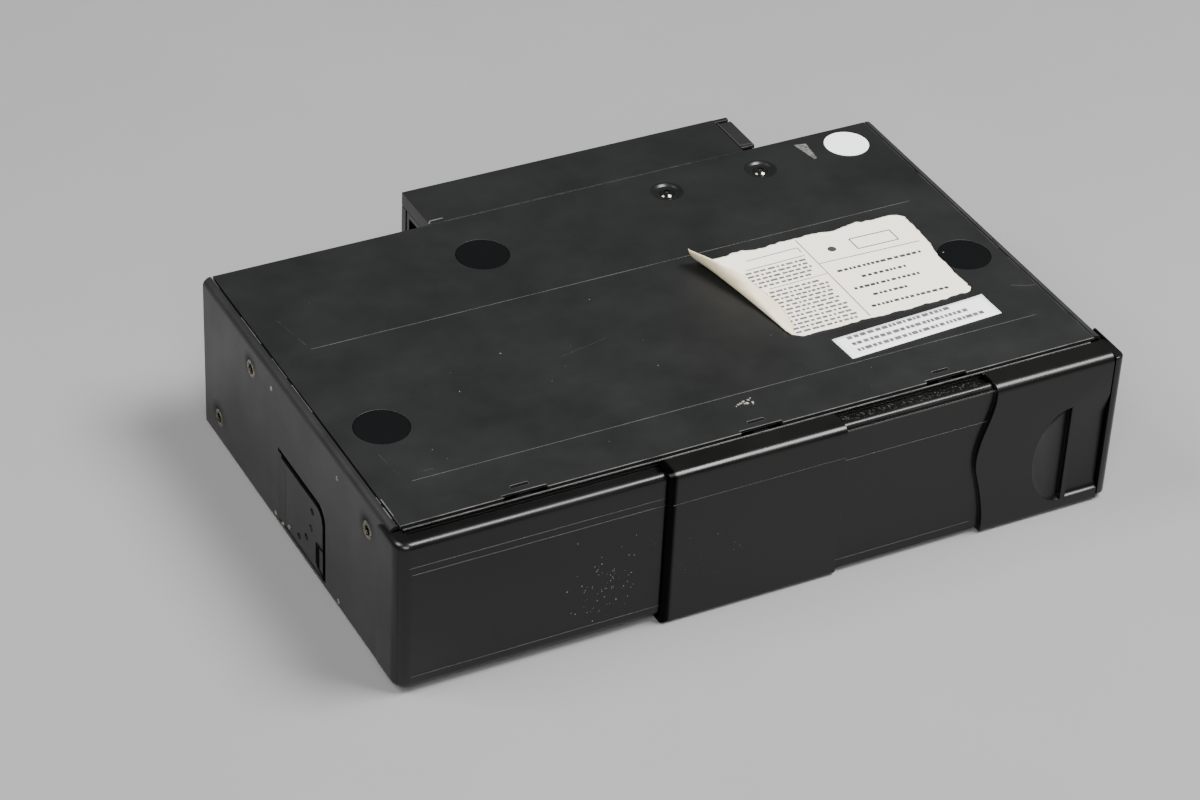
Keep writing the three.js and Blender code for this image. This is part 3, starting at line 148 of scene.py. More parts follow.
def add_bar(bm, start, end, width, high, up):
    """A thin straight bar from start to end, standing out along up"""
    along = (end - start).normalized()
    across = up.cross(along).normalized()
    size = Matrix.Diagonal(((end - start).length, width * mm, high * mm, 1))
    basis = Matrix((along, across, up)).transposed().to_4x4()
    middle = Matrix.Translation((start + end) / 2 + up * (high * mm / 2))
    bmesh.ops.create_cube(bm, size=1, matrix=middle @ basis @ size)


def spun(profile, centre, axis="z", steps=32):
    """A closed turned shape: (radius, height) points spun round an axis through centre"""
    bm = bmesh.new()
    verts = [bm.verts.new((r * mm, 0, h * mm)) for r, h in profile]
    edges = [bm.edges.new(pair) for pair in zip(verts, verts[1:])]
    bmesh.ops.spin(bm, geom=verts + edges, cent=(0, 0, 0), axis=(0, 0, 1), dvec=(0, 0, 0),
                   angle=turn, steps=steps, use_merge=True)
    bmesh.ops.remove_doubles(bm, verts=bm.verts, dist=0.001 * mm)
    bmesh.ops.recalc_face_normals(bm, faces=bm.faces)
    lean = {"z": Matrix.Identity(4), "x": Matrix.Rotation(math.pi / 2, 4, "Y"),
            "-x": Matrix.Rotation(-math.pi / 2, 4, "Y")}[axis]
    bmesh.ops.transform(bm, matrix=Matrix.Translation(centre) @ lean, verts=bm.verts)
    return bm


def merged(parts):
    """Several small bmeshes as one"""
    whole = bmesh.new()
    for bm in parts:
        mesh = bpy.data.meshes.new("part")
        bm.to_mesh(mesh)
        bm.free()
        whole.from_mesh(mesh)
        bpy.data.meshes.remove(mesh)
    return whole


def verts_of(made):
    """The corners among what an extrusion made"""
    return [v for v in made if isinstance(v, bmesh.types.BMVert)]


# Shader groups

class Nodes:
    """Short hand for wiring one node tree"""

    def __init__(self, tree):
        self.tree = tree

    def add(self, kind, **values):
        node = self.tree.nodes.new("ShaderNode" + kind)
        for key, value in values.items():
            setattr(node, key, value)
        return node

    def wire(self, out, into):
        self.tree.links.new(out, into)

    def put(self, value, socket):
        if isinstance(value, (int, float)):
            socket.default_value = value
        elif isinstance(value, tuple):
            socket.default_value = (*value, 1) if len(socket.default_value) == 4 else value
        else:
            self.wire(value, socket)

    def math(self, operation, a, b=None):
        node = self.add("Math", operation=operation)
        self.put(a, node.inputs[0])
        if b is not None:
            self.put(b, node.inputs[1])
        return node.outputs[0]

    def noise(self, place, scale, detail=3, rough=0.6):
        node = self.add("TexNoise")
        self.put(scale, node.inputs["Scale"])
        node.inputs["Detail"].default_value = detail
        node.inputs["Roughness"].default_value = rough
        self.wire(place, node.inputs["Vector"])
        return node.outputs["Fac"]

    def between(self, value, low, high, to_low=0.0, to_high=1.0):
        node = self.add("MapRange", clamp=True)
        limits = {"From Min": low, "From Max": high, "To Min": to_low, "To Max": to_high}
        for key, number in limits.items():
            self.put(number, node.inputs[key])
        self.wire(value, node.inputs["Value"])
        return node.outputs["Result"]

    def blend(self, share, a, b):
        node = self.add("Mix", data_type="RGBA")
        self.wire(share, node.inputs[0])
        self.put(a, node.inputs[6])
        self.put(b, node.inputs[7])
        return node.outputs[2]

    def place(self, stretch=(1, 1, 1), lean=(0, 0, 0)):
        """Object coordinates in metres, stretched or turned"""
        out = self.add("TexCoord").outputs["Object"]
        if stretch == (1, 1, 1) and lean == (0, 0, 0):
            return out
        mapping = self.add("Mapping")
        self.put(stretch, mapping.inputs["Scale"])
        self.put(lean, mapping.inputs["Rotation"])
        self.wire(out, mapping.inputs["Vector"])
        return mapping.outputs["Vector"]

    def coordinate(self, axis):
        """One of the object coordinates, in metres"""
        split = self.add("SeparateXYZ")
        self.wire(self.place(), split.inputs[0])
        return split.outputs[axis]


def group(name, inputs, outputs):
    """A shader group whose inputs are numbers with a usual value"""
    tree = bpy.data.node_groups.new(name, "ShaderNodeTree")
    for label, default in inputs.items():
        socket = tree.interface.new_socket(label, in_out="INPUT", socket_type="NodeSocketFloat")
        socket.default_value = default
    for label in outputs:
        tree.interface.new_socket(label, in_out="OUTPUT", socket_type="NodeSocketFloat")
    given = tree.nodes.new("NodeGroupInput").outputs
    put = tree.nodes.new("NodeGroupOutput").inputs
    return tree, Nodes(tree), given, put


def build_grain():
    """Fine paint or moulding grain, and slow clouds of gloss and shade"""
    tree, n, given, put = group("grain", {"Size": 0.4, "Clouds": 40.0},
                                ("Height", "Cloud", "Smear"))
    place = n.place()
    scale = n.math("DIVIDE", 1 / mm, given["Size"])
    n.wire(n.noise(place, scale, 2), put["Height"])
    n.wire(n.noise(place, given["Clouds"], 4), put["Cloud"])
    n.wire(n.noise(n.place((1, 3, 1), (0, 0, 0.6)), 14, 5, 0.65), put["Smear"])
    return tree


def build_dust():
    """Scattered pale specks, gathered in patches"""
    tree, n, given, put = group("dust", {"Spacing": 5.0, "Speck": 0.16, "Amount": 0.5},
                                ("Specks",))
    place = n.place()
    cells = n.add("TexVoronoi", feature="F1")
    n.wire(place, cells.inputs["Vector"])
    n.wire(n.math("DIVIDE", 1 / mm, given["Spacing"]), cells.inputs["Scale"])
    picked = n.add("SeparateColor")
    n.wire(cells.outputs["Color"], picked.inputs["Color"])
    size = n.math("DIVIDE", given["Speck"], given["Spacing"])
    size = n.math("MULTIPLY", size, n.between(picked.outputs["Green"], 0, 1, 0.3, 1.2))
    spot = n.math("LESS_THAN", cells.outputs["Distance"], size)
    patch = n.between(n.noise(place, 22, 3), 0.4, 0.6, 0.2, 1)
    some = n.math("LESS_THAN", picked.outputs["Red"], n.math("MULTIPLY", given["Amount"], patch))
    n.wire(n.math("MULTIPLY", spot, some), put["Specks"])
    return tree


def build_wear():
    """Bright wear on outer edges, broken up along them"""
    tree, n, given, put = group("edge wear", {"Radius": 0.5, "Amount": 0.5, "Breaks": 160.0},
                                ("Worn",))
    soft = n.add("Bevel", samples=6)
    n.wire(n.math("MULTIPLY", given["Radius"], mm), soft.inputs["Radius"])
    bend = n.add("VectorMath", operation="DOT_PRODUCT")
    n.wire(soft.outputs["Normal"], bend.inputs[0])
    n.wire(n.add("NewGeometry").outputs["Normal"], bend.inputs[1])
    bent = n.between(bend.outputs["Value"], 0.97, 0.8)
    chips = n.noise(n.place(), given["Breaks"], 4, 0.7)
    start = n.math("SUBTRACT", 0.72, n.math("MULTIPLY", given["Amount"], 0.4))
    broken = n.between(chips, start, n.math("ADD", start, 0.05))
    n.wire(n.math("MULTIPLY", bent, broken), put["Worn"])
    return tree


def build_scratches():
    """Fine straight hairlines in two directions, in patches"""
    tree, n, given, put = group("scratches", {"Amount": 0.5}, ("Lines",))
    lines = None
    for stretch, lean in (((700, 22, 700), (0, 0, 0.35)), ((18, 620, 620), (0, 0, -0.15))):
        field = n.noise(n.place(stretch, lean), 1, 1, 0.4)
        near = n.math("ABSOLUTE", n.math("SUBTRACT", field, 0.5))
        line = n.between(near, 0.0, 0.004, 1, 0)
        lines = line if lines is None else n.math("MAXIMUM", lines, line)
    patch = n.between(n.noise(n.place(), 30, 3), 0.52, 0.66)
    n.wire(n.math("MULTIPLY", n.math("MULTIPLY", lines, patch), given["Amount"]), put["Lines"])
    return tree


grain_group, dust_group = build_grain(), build_dust()
wear_group, scratch_group = build_wear(), build_scratches()


def use(n, tree, **values):
    """Puts a shader group into a material, with these values on its inputs"""
    node = n.add("Group")
    node.node_tree = tree
    for key, value in values.items():
        node.inputs[key].default_value = value
    return node.outputs


unlit = (0.0002, 0.0002, 0.0002)


def finish(name, colour, shade, rough, metal=0.0, grain=0.4, depth=0.02, clouds=40, dust=0.0,
           speck=0.16, spacing=5.0, speck_colour=(0.30, 0.30, 0.28), wear=0.0, wear_to=None,
           bare=(0.45, 0.44, 0.42), scratches=0.0, level=0.5, spread=0.06, marked_colour=None,
           dark_left=None):
    """A finish: two shades in clouds, grain in its height, smears in its gloss, and if asked for
    specks, scratches and edge wear in front of y = wear_to. It turns to another colour where its
    mesh is marked as lifted: the back of the rolled paper on the label, and painted shade round the
    inserts on the case. It goes dark towards a rounded left edge at x = dark_left: painted shade."""
    material = bpy.data.materials.new(name)
    material.use_nodes = True
    tree = material.node_tree
    tree.nodes.clear()
    n = Nodes(tree)
    surface = n.add("BsdfPrincipled")
    n.wire(surface.outputs[0], n.add("OutputMaterial").inputs[0])
    texture = use(n, grain_group, Size=grain, Clouds=clouds)
    base = n.blend(n.between(texture["Cloud"], 0.3, 0.7), colour, shade)
    roughness = n.between(texture["Cloud"], 0.25, 0.75, rough - spread, rough + spread)
    smear = n.between(texture["Smear"], 0.45, 0.75, 0, spread * 0.7)
    roughness = n.math("ADD", roughness, smear)
    shine = surface.inputs["Specular IOR Level"]
    shine.default_value = level
    # Where marked: the back colour of the rolled paper, and painted shade round the side inserts
    if marked_colour:
        lifted = n.add("Attribute", attribute_name="lifted").outputs["Fac"]
        base = n.blend(lifted, base, marked_colour)
        n.wire(n.between(lifted, 0, 1, level, level * 0.15), shine)
    if scratches:
        lines = use(n, scratch_group, Amount=scratches)["Lines"]
        base = n.blend(lines, base, bare)
    if dust:
        specks = use(n, dust_group, Amount=dust, Speck=speck, Spacing=spacing)["Specks"]
        base = n.blend(specks, base, speck_colour)
        roughness = n.math("MAXIMUM", roughness, n.math("MULTIPLY", specks, 0.9))
    if wear:
        worn = use(n, wear_group, Amount=wear)["Worn"]
        if wear_to is not None:
            ends = at(0, wear_to, 0).y, at(0, wear_to + 0.5, 0).y
            worn = n.math("MULTIPLY", worn, n.between(n.coordinate("Y"), *ends, 1, 0))
        base = n.blend(worn, base, bare)
    # Painted shade: near black and dull towards the rounded left edge
    if dark_left is not None:
        ends = (dark_left + 1.9) * mm, (dark_left + 3.1) * mm
        dark = n.between(n.coordinate("X"), *ends, 1, 0)
        base = n.blend(dark, base, unlit)
        n.wire(n.between(dark, 0, 1, level, level * 0.1), shine)
    bump = n.add("Bump")
    bump.inputs["Strength"].default_value = 0.6
    bump.inputs["Distance"].default_value = depth * mm
    n.wire(texture["Height"], bump.inputs["Height"])
    n.wire(bump.outputs["Normal"], surface.inputs["Normal"])
    n.wire(base, surface.inputs["Base Color"])
    n.wire(roughness, surface.inputs["Roughness"])
    surface.inputs["Metallic"].default_value = metal
    return material


# Finishes: two shades that each wanders between, its roughness, and what else shows on it
# The case's shades are lighter than the plate's though it is the same paint: painted light on the
# sides
case_black = (0.0070, 0.0072, 0.0070), (0.0088, 0.0091, 0.0088)
door_black = (0.0015, 0.0015, 0.0013), (0.0021, 0.0021, 0.0018)
pale_dust = (0.03, 0.03, 0.028)
moulded = dict(grain=0.3, level=0.42, dust=0.3, speck=0.1, speck_colour=pale_dust)

plate_paint = finish("satin plate paint", (0.0048, 0.0053, 0.0051), (0.0064, 0.0069, 0.0067), 0.42,
                     dust=0.4, speck=0.12, spacing=6, speck_colour=(0.05, 0.05, 0.045),
                     wear=0.9, wear_to=5.6, bare=(0.10, 0.10, 0.095), scratches=0.02)
case_paint = finish("satin case paint", *case_black, 0.42, level=0.6, dust=0.2, speck=0.12,
                    speck_colour=pale_dust, scratches=0.01)
# Case paint that turns near black where marked: painted shade round the side inserts
shaded_case_paint = finish("case paint with painted shade", *case_black, 0.42, level=0.6, marked_colour=unlit)
# Darker than the plate's paint: painted shade in the screw dishes
shaded_dish_paint = finish("pressed dish paint with painted shade", (0.0036, 0.0039, 0.0038), (0.0048, 0.0051, 0.0050), 0.29,
                    spread=0.03)
bezel_plastic = finish("bezel plastic", (0.0013, 0.0013, 0.0012), (0.0019, 0.0019, 0.0018), 0.30,
                       spacing=4, **moulded)
door_plastic = finish("door plastic", *door_black, 0.30, **moulded)
# Near black up to about 3 mm from its left edge: painted shade on that rounded edge
cover_plastic = finish("cover plastic", *door_black, 0.30, dark_left=cover_left, **moulded)
pad_rubber = finish("pad rubber", (0.0004, 0.0009, 0.0010), (0.0008, 0.0013, 0.0015), 0.7,
                    grain=0.5, depth=0.05, level=0.1, dust=0.2, speck=0.1,
                    speck_colour=(0.02, 0.03, 0.03))
# Near black: painted shade laid where a gap shows dark
gap_shade_paint = finish("shaded gap", (0.0004, 0.0004, 0.0004), (0.0008, 0.0008, 0.0008), 0.8, level=0.05)

cream_paper = finish("cream paper", (0.93, 0.868, 0.745), (0.89, 0.82, 0.68), 0.75, grain=0.25,
                     depth=0.03, clouds=30, marked_colour=(0.80, 0.70, 0.49))
white_sticker = finish("white sticker", (0.96, 0.97, 0.97), (0.92, 0.93, 0.94), 0.5, grain=0.25)
ink = finish("printer's ink", (0.02, 0.02, 0.022), (0.04, 0.04, 0.04), 0.6, grain=0.2)
pale_ink = finish("faded ink", (0.05, 0.05, 0.048), (0.15, 0.147, 0.14), 0.7, grain=0.2, clouds=500)

# Paler than the paint: wear on the scratch and the right edges, painted highlight on the beads
crest = finish("worn and highlit crest", (0.016, 0.016, 0.015), (0.062, 0.061, 0.057), 0.4, grain=0.3,
               clouds=90)
# Faintly paler: scuffs on the plate, and painted highlight along the lid seam and the cover's line
faint_crest = finish("faint crest", (0.008, 0.008, 0.008), (0.028, 0.028, 0.026), 0.4, grain=0.3,
                     clouds=300)
# Paler than the black plastic: painted highlight on the moulded lines
moulded_crest = finish("moulded crest", (0.022, 0.022, 0.020), (0.040, 0.040, 0.037), 0.35,
                       grain=0.3, clouds=120)
# Pale edges: wear on the plate and the lid, painted highlight on the bezel rail's lip
worn_and_highlit_edge = finish("worn and highlit edge", (0.028, 0.028, 0.026), (0.15, 0.147, 0.14), 0.35, grain=0.3,
                   clouds=110)
worn_crimp = finish("worn crimp", (0.01, 0.01, 0.01), (0.42, 0.40, 0.35), 0.3, metal=0.4,
                    grain=0.2, clouds=900)
chipped = finish("chipped paint", (0.40, 0.37, 0.31), (0.12, 0.10, 0.075), 0.6, grain=0.3,
                 clouds=1500)
lint = finish("lint and dust", (0.030, 0.026, 0.018), (0.012, 0.011, 0.009), 0.9, grain=0.2,
              clouds=900)
speck_white = finish("dry specks", (0.26, 0.26, 0.24), (0.05, 0.05, 0.047), 0.9, grain=0.2,
                     clouds=900)
foil = finish("scraped foil", (0.30, 0.30, 0.29), (0.04, 0.04, 0.038), 0.4, metal=0.3, grain=0.25,
              clouds=1300)

screw_zinc = finish("screw zinc", (0.10, 0.10, 0.095), (0.16, 0.155, 0.14), 0.12, metal=1.0,
                    grain=0.15, depth=0.01)
zinc = finish("zinc plate", (0.45, 0.44, 0.40), (0.55, 0.53, 0.48), 0.38, metal=1.0, grain=0.8,
              clouds=90, wear=0.2)
brass = finish("turned brass", (0.05, 0.045, 0.035), (0.34, 0.31, 0.25), 0.25, metal=1.0,
               grain=0.3, clouds=1100)
steel = finish("ground steel", (0.55, 0.56, 0.57), (0.62, 0.63, 0.64), 0.25, metal=1.0, grain=0.2)
grey_plastic = finish("grey plastic", (0.09, 0.098, 0.104), (0.11, 0.118, 0.124), 0.45, grain=0.3)
white_plastic = finish("white plastic", (0.62, 0.62, 0.58), (0.70, 0.70, 0.66), 0.4, grain=0.3)
board_green = finish("board green", (0.012, 0.085, 0.03), (0.016, 0.11, 0.04), 0.35, grain=0.3)
tray_plastic = finish("tray plastic", (0.026, 0.030, 0.032), (0.032, 0.037, 0.039), 0.45,
                      grain=0.3)
black_rubber = finish("damper rubber", (0.008, 0.009, 0.010), (0.012, 0.013, 0.014), 0.6,
                      grain=0.5, depth=0.04)

by_slot = {
    "black_steel": case_paint, "black_plastic": bezel_plastic, "rubber": black_rubber,
    "paper": cream_paper, "zinc_steel": zinc, "brass": brass, "bright_steel": steel,
    "grey_plastic": grey_plastic, "white_plastic": white_plastic, "circuit_board": board_green,
    "tray_plastic": tray_plastic,
}
for part in frame["record"]["subparts"]:
    for material_slot in nodes[part["node"]].material_slots:
        material_slot.material = by_slot[part["material_slot"]]

# Case, plate, front and rear box
finished("case_cover", case_paint, "case", 0.2)
finished("base_plate", plate_paint, "case", 0.12, 2, smooth=20)
finished("front_bezel", bezel_plastic, "case", 0.3, smooth=42, angle=45)
finished("sliding_door", door_plastic, "door", 0.3, smooth=42, angle=45)
finished("door_cover_plate", cover_plastic, "door_cover", 0.3, smooth=42, angle=45)
finished("rear_housing", case_paint, "case", 0.2)
finished("rear_cover", plate_paint, "case", 0.1)
finished("rear_connector", bezel_plastic, "case", 0.15)
finished("connector_pins", brass, "case", 0.1)
finished("angle_plate", case_paint, "case", 0.12)
finished("magazine_case", grey_plastic, "magazine", 0.2)
finished("eject_button", grey_plastic, "eject_button_body", 0.4)
for k in (1, 2, 3):
    finished(f"pad_{k}", pad_rubber, "case", 0.15)
for k in range(1, 7):
    finished(f"tray_{k}", tray_plastic, f"tray_body_{k}", 0.15)

# Fine ridges pressed into the plate and moulded on the front
up, out, left_out = Vector((0, 0, 1)), Vector((0, -1, 0)), Vector((-1, 0, 0))


def ridges(name, material, lines, body="case"):
    """Fine straight ridges, each (start, end, width, height, side that they stand on)"""
    bm = bmesh.new()
    for start, end, width, high, side in lines:
        add_bar(bm, at(*start), at(*end), width, high, side)
    return round_edges(keep(bm, name, material, body), 0.06, 2)


skin = plate_top - 0.02  # things that lie on the plate are sunk by this little
# The beads' pale crests are partly wear and partly painted highlight
ridges("plate_beads", crest, [
    ((-111, 95.5, skin), (111, 95.5, skin), 0.26, 0.16, up),
    ((-111, 19, skin), (113, 19, skin), 0.26, 0.16, up),
])
ridges("plate_scuffs", faint_crest, [
    ((-111.4, 98.5, skin), (-112.2, 103.0, skin), 0.3, 0.04, up),
    ((-112.6, 105.4, skin), (-114.4, 114.7, skin), 0.22, 0.04, up),
    ((-113.2, 23, skin), (-113.6, 26.5, skin), 0.5, 0.04, up),
    ((-113.8, 28.4, skin), (-114.5, 35.4, skin), 0.22, 0.04, up),
    ((-107.9, 22.4, skin), (-102.3, 22.3, skin), 0.4, 0.04, up),
    ((-40, 60, skin), (-22, 63.5, skin), 0.12, 0.03, up),
])
ridges("plate_scratch", crest, [
    ((115.1, 37.1, skin), (119.4, 34.9, skin), 0.25, 0.05, up),
    ((119.4, 34.9, skin), (122.6, 34.2, skin), 0.2, 0.05, up),
])

# Worn edges of the plate: the front between and behind its notches, and the two sides
front_low, side_low = plate_top - 0.25, skin - 0.3
between_notches = [(-122.9, -89.1), (-74.3, -7.4), (7.4, 59.8), (74.6, 122.9)]
notches, notch_half = (-81.7, 0, 67.2), 7.2
ridges("plate_front_edge", worn_and_highlit_edge,
       [((a, 0.12, front_low), (b, 0.12, front_low), 0.3, 0.28, up) for a, b in between_notches]
       + [((x - notch_half, 1.32, front_low), (x + notch_half, 1.32, front_low), 0.24, 0.28, up)
          for x in notches])
worn_lengths = [(139.4, 146.6), (104.8, 121.1), (84, 96), (64, 80), (12.5, 16.1)]
ridges("left_edge_worn", worn_and_highlit_edge,
       [((-124.15, a, side_low), (-124.15, b, side_low), 0.2, 0.34, up) for a, b in worn_lengths]
       + [((-124.3, 4.5, side_low), (-124.3, 10.5, side_low), 0.45, 0.34, up),
          ((-123.2, 5.5, skin - 0.1), (-123.2, 14.5, skin - 0.1), 0.4, 0.14, up)])
right_lengths = [(123.3, 3, 52), (123.3, 58, 110), (123.3, 113, 146), (124.5, 3, 60),
                 (124.5, 64, 146)]
ridges("right_edge_worn", crest,
       [((x, a, skin - 0.2), (x, b, skin - 0.2), 0.22, 0.24, up) for x, a, b in right_lengths])
# Pale strip along the top of the bezel rail: painted highlight on its edge
ridges("bezel_lip", worn_and_highlit_edge, [((-123.4, -1.5, 57.72), (121, -1.5, 57.72), 0.26, 0.1, up)])

# Lid of the rear box: the seam along the plate, its worn corner and the lip past its right end
seam, lid_skin = plate_back + 0.15, plate_top - 0.03
# Faint pale strip over the seam: painted highlight along it
ridges("lid_seam", faint_crest, [((-40, seam, lid_skin), (54, seam, lid_skin), 0.5, 0.05, up)])
ridges("lid_seam_ends", plate_paint, [
    ((a, seam, lid_skin), (b, seam, lid_skin), 0.5, 0.05, up) for a, b in ((-44.2, -40), (54, 74.6))
])
ridges("lid_corners", worn_and_highlit_edge, [
    ((-45.4, 147.8, lid_skin), (-44.4, 149.1, lid_skin), 0.4, 0.08, up),
    ((-44.4, 149.1, lid_skin), (-39.6, 149.2, lid_skin), 0.35, 0.08, up),
])
bm = bmesh.new()
add_block(bm, (74.5, 80.1), (167.5, 169.2), (plate_top - 0.9, plate_top - 0.01))
round_edges(keep(bm, "lid_back_lip", plate_paint, "case"), 0.15, 2)
ridges("strip_edges", lint, [
    ((75.2, 150.6, lid_skin), (75.2, 166.8, lid_skin), 0.4, 0.14, up),
    ((75.0, 150.4, lid_skin), (80.0, 150.2, lid_skin), 0.45, 0.14, up),
])

# Moulded lines on the fixed panel and on the two leaves of the door, paler than the plastic:
# painted highlight on their lips
ridges("bezel_lines", moulded_crest, [
    ((bezel_left, -bezel_face, 48.5), (cover_left, -bezel_face, 48.5), 0.26, 0.1, out),
    ((bezel_left + 1, -bezel_face, 45.8), (cover_left, -bezel_face, 45.8), 0.3, 0.12, out),
    ((bezel_left + 1, -bezel_face, 6.7), (cover_left, -bezel_face, 6.7), 0.3, 0.12, out),
])
ridges("leaf_lines", moulded_crest, [
    ((leaf_left, -leaf_face, 44.6), (leaf_right, -leaf_face, 44.6), 0.26, 0.1, out),
    ((leaf_left, -leaf_face, 5.2), (leaf_right - 3, -leaf_face, 5.2), 0.26, 0.1, out),
    ((leaf_left, -leaf_face, 55.9), (leaf_right + 1.5, -leaf_face, 55.9), 0.5, 0.08, out),
], "door")
ridges("cover_line", faint_crest, [
    ((cover_left + 1.5, -cover_face, 46.6), (cover_right, -cover_face, 46.6), 0.26, 0.06, out),
], "door_cover")

# A fixed rail in front of the plate, and the back lips of the two leaves that run along it
for name, material, body, x, y, z in (
        ("bezel_rail", bezel_plastic, "case", (-123.4, 121), (-1.9, -0.9), (56.3, 57.75)),
        ("cover_back_lip", cover_plastic, "door_cover", (cover_left + 0.4, cover_right),
         (-3.7, -2.1), (57.1, 57.98)),
        ("grip_back_lip", door_plastic, "door", (78.8, 119.8), (-3.1, -2.1), (57.1, 57.98))):
    bm = bmesh.new()
    add_block(bm, x, y, z)
    round_edges(keep(bm, name, material, body), 0.12, 2)


# Transport screws: domed heads with a six lobed recess, in rounded dishes
head_radius, head_recess, head_high = 2.8, 1.25, 1.25
shank_radius = 1.45


def lobed_head(x, y, seat):
    """The domed top of a screw, open towards its shank, with the recess cut into it"""
    ball = (head_radius ** 2 + head_high ** 2) / (2 * head_high)
    reach = [head_recess + (head_radius - head_recess) * k / 8 for k in range(9)]
    dome = [(r, seat + head_high - ball + math.sqrt(ball ** 2 - r ** 2)) for r in reach]
    bm = spun(dome + [(head_radius, seat)], at(x, y, 0), steps=36)
    rim = [edge for edge in bm.edges if edge.is_boundary and all(
        (v.co - at(x, y, v.co.z / mm)).length < (head_recess + 0.05) * mm for v in edge.verts)]
    for sink, lobed in ((0.02, True), (0.9, False)):
        made = bmesh.ops.extrude_edge_only(bm, edges=rim)["geom"]
        rim = [e for e in made if isinstance(e, bmesh.types.BMEdge)]
        for v in verts_of(made):
            v.co.z -= sink * mm
            if lobed:
                away = v.co - at(x, y, v.co.z / mm)
                around = math.atan2(away.y, away.x)
                v.co -= away * (0.12 + 0.16 * (1 + math.cos(6 * around)) / 2)
    bmesh.ops.contextual_create(bm, geom=rim)
    bmesh.ops.recalc_face_normals(bm, faces=bm.faces)
    return bm


screw_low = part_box("transport_screw_1")[0][2] / mm
dish_radius, dish_slope, dish_deep, dish_steps = 5.55, 2.35, 0.98, 12
dish = []
for k in range(dish_steps + 1):
    share = k / dish_steps
    fall = dish_deep * (1 - math.cos(math.pi * share)) / 2
    dish.append((dish_radius - dish_slope * share, plate_top + 0.015 - fall))
dish = ([(dish_radius + 0.2, plate_top + 0.01)] + dish
        + [(1.9, plate_top - 0.965), (1.9, plate_top - 1.1), (dish_radius + 0.2, plate_top - 0.3),
           (dish_radius + 0.2, plate_top + 0.01)])
for k, x, y, screw_high in screw_places():
    # The dish is darker than the plate round it: painted shade in its hollow
    rounded = spun(dish, at(x, y, 0), steps=64)
    keep(rounded, f"screw_dish_{k}", shaded_dish_paint, "case", 50)
    seat = screw_high - head_high
    shank = spun([(0, screw_low), (shank_radius, screw_low), (shank_radius, seat),
                  (head_radius, seat)], at(x, y, 0), steps=36)
    bm = merged([shank, lobed_head(x, y, seat)])
    bmesh.ops.remove_doubles(bm, verts=bm.verts, dist=0.002 * mm)
    keep(bm, f"transport_screw_{k}_head", screw_zinc, "case", 40,
         (f"transport_screw_{k}",))

# Threaded inserts: a swaged brass collar on each, and painted shade round it that fades outwards
collar_form = [(1.6, -1.2), (1.7, 0.0), (2.1, 0.26), (2.7, 0.28), (3.15, 0.0), (3.2, -0.3),
               (2.1, -1.2), (1.6, -1.2)]
shade_ring_form = [(3.0, -0.05), (3.0, 0.03), (3.6, 0.035), (4.4, 0.035), (5.2, 0.03), (6.1, 0.02),
             (7.0, 0.006), (7.0, -0.05), (3.0, -0.05)]
for k in range(1, 7):
    low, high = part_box(f"insert_{k}")
    side, axis = (-1, "-x") if k <= 3 else (1, "x")
    face = Vector((side * case_half * mm, (low[1] + high[1]) / 2, (low[2] + high[2]) / 2))
    keep(spun(collar_form, face, axis, 40), f"insert_collar_{k}", brass, "case")
    shade_ring = spun(shade_ring_form, face, axis, 48)
    # Painted shade: darker near the collar and towards its upper back side
    painted_shade = shade_ring.verts.layers.float.new("lifted")
    for vert in shade_ring.verts:
        away = (vert.co - face) / mm
        reach = max(math.hypot(away.y, away.z), 0.1)
        upward = 0.5 + 0.5 * (0.55 * away.y + 0.84 * away.z) / reach
        vert[painted_shade] = min(1, max(0, (6.9 - reach) / 3.2)) * (0.15 + 0.85 * upward)
    keep(shade_ring, f"insert_shade_ring_{k}", shaded_case_paint, "case", 60)

# Small crimped dimples on the left side, bright where the paint has gone
crimp_form = [(0, 0.0), (0.3, 0.05), (0.5, 0.18), (0.7, 0.18), (0.9, -0.05), (0.9, -0.2), (0, -0.2)]
crimp_places = ((89.9, 51.0), (38.2, 50.8), (37.5, 3.4), (87.5, 3.6), (81.7, 2.9), (76.6, 5.4))
crimps = merged([spun(crimp_form, at(-case_half, y, z), "-x", 16) for y, z in crimp_places])
keep(crimps, "side_crimps", worn_crimp, "case")

# Side window: near black strips on the pressed plate's edge and along its face, and beside its tab,
# are painted shade for the gap round the plate
window_front, window_back, window_foot, window_top, window_round = 49.3, 84.6, 3.2, 30.2, 6
gap_x, shade_x = -case_half + 0.56, -case_half + 0.22
rim = [(window_back, window_top), (window_front + window_round, window_top)]
for k in range(1, 9):
    angle = turn * k / 32
    rim.append((window_front + window_round * (1 - math.sin(angle)),
                window_top - window_round * (1 - math.cos(angle))))
rim.append((window_front, window_foot))
bm = bmesh.new()
for (y, z), (y_next, z_next) in zip(rim, rim[1:]):
    start, end = at(gap_x, y, z), at(gap_x, y_next, z_next)
    onward = (end - start).normalized()
    outward = onward.cross(Vector((1, 0, 0)))
    end += onward * 0.05 * mm
    add_bar(bm, start, end, 1.12, 0.05, outward)
    width = 1.7 if z > window_top - 0.01 else 0.9 + 0.07 * max(0, z_next - 20)
    shift = Vector((-0.34, 0, 0)) * mm - outward * width / 2 * mm
    add_bar(bm, start + shift, end + shift, width, 0.05, left_out)
for (y, z), (y_next, z_next), width in (((54.0, 13.2), (54.0, 5.0), 1.7),
                                        ((55.0, 13.9), (49.6, 13.9), 0.6),
                                        ((54.4, 5.0), (49.6, 3.6), 0.6)):
    add_bar(bm, at(shade_x, y, z), at(shade_x, y_next, z_next), width, 0.05, left_out)
keep(bm, "side_window_shade", gap_shade_paint, "case")

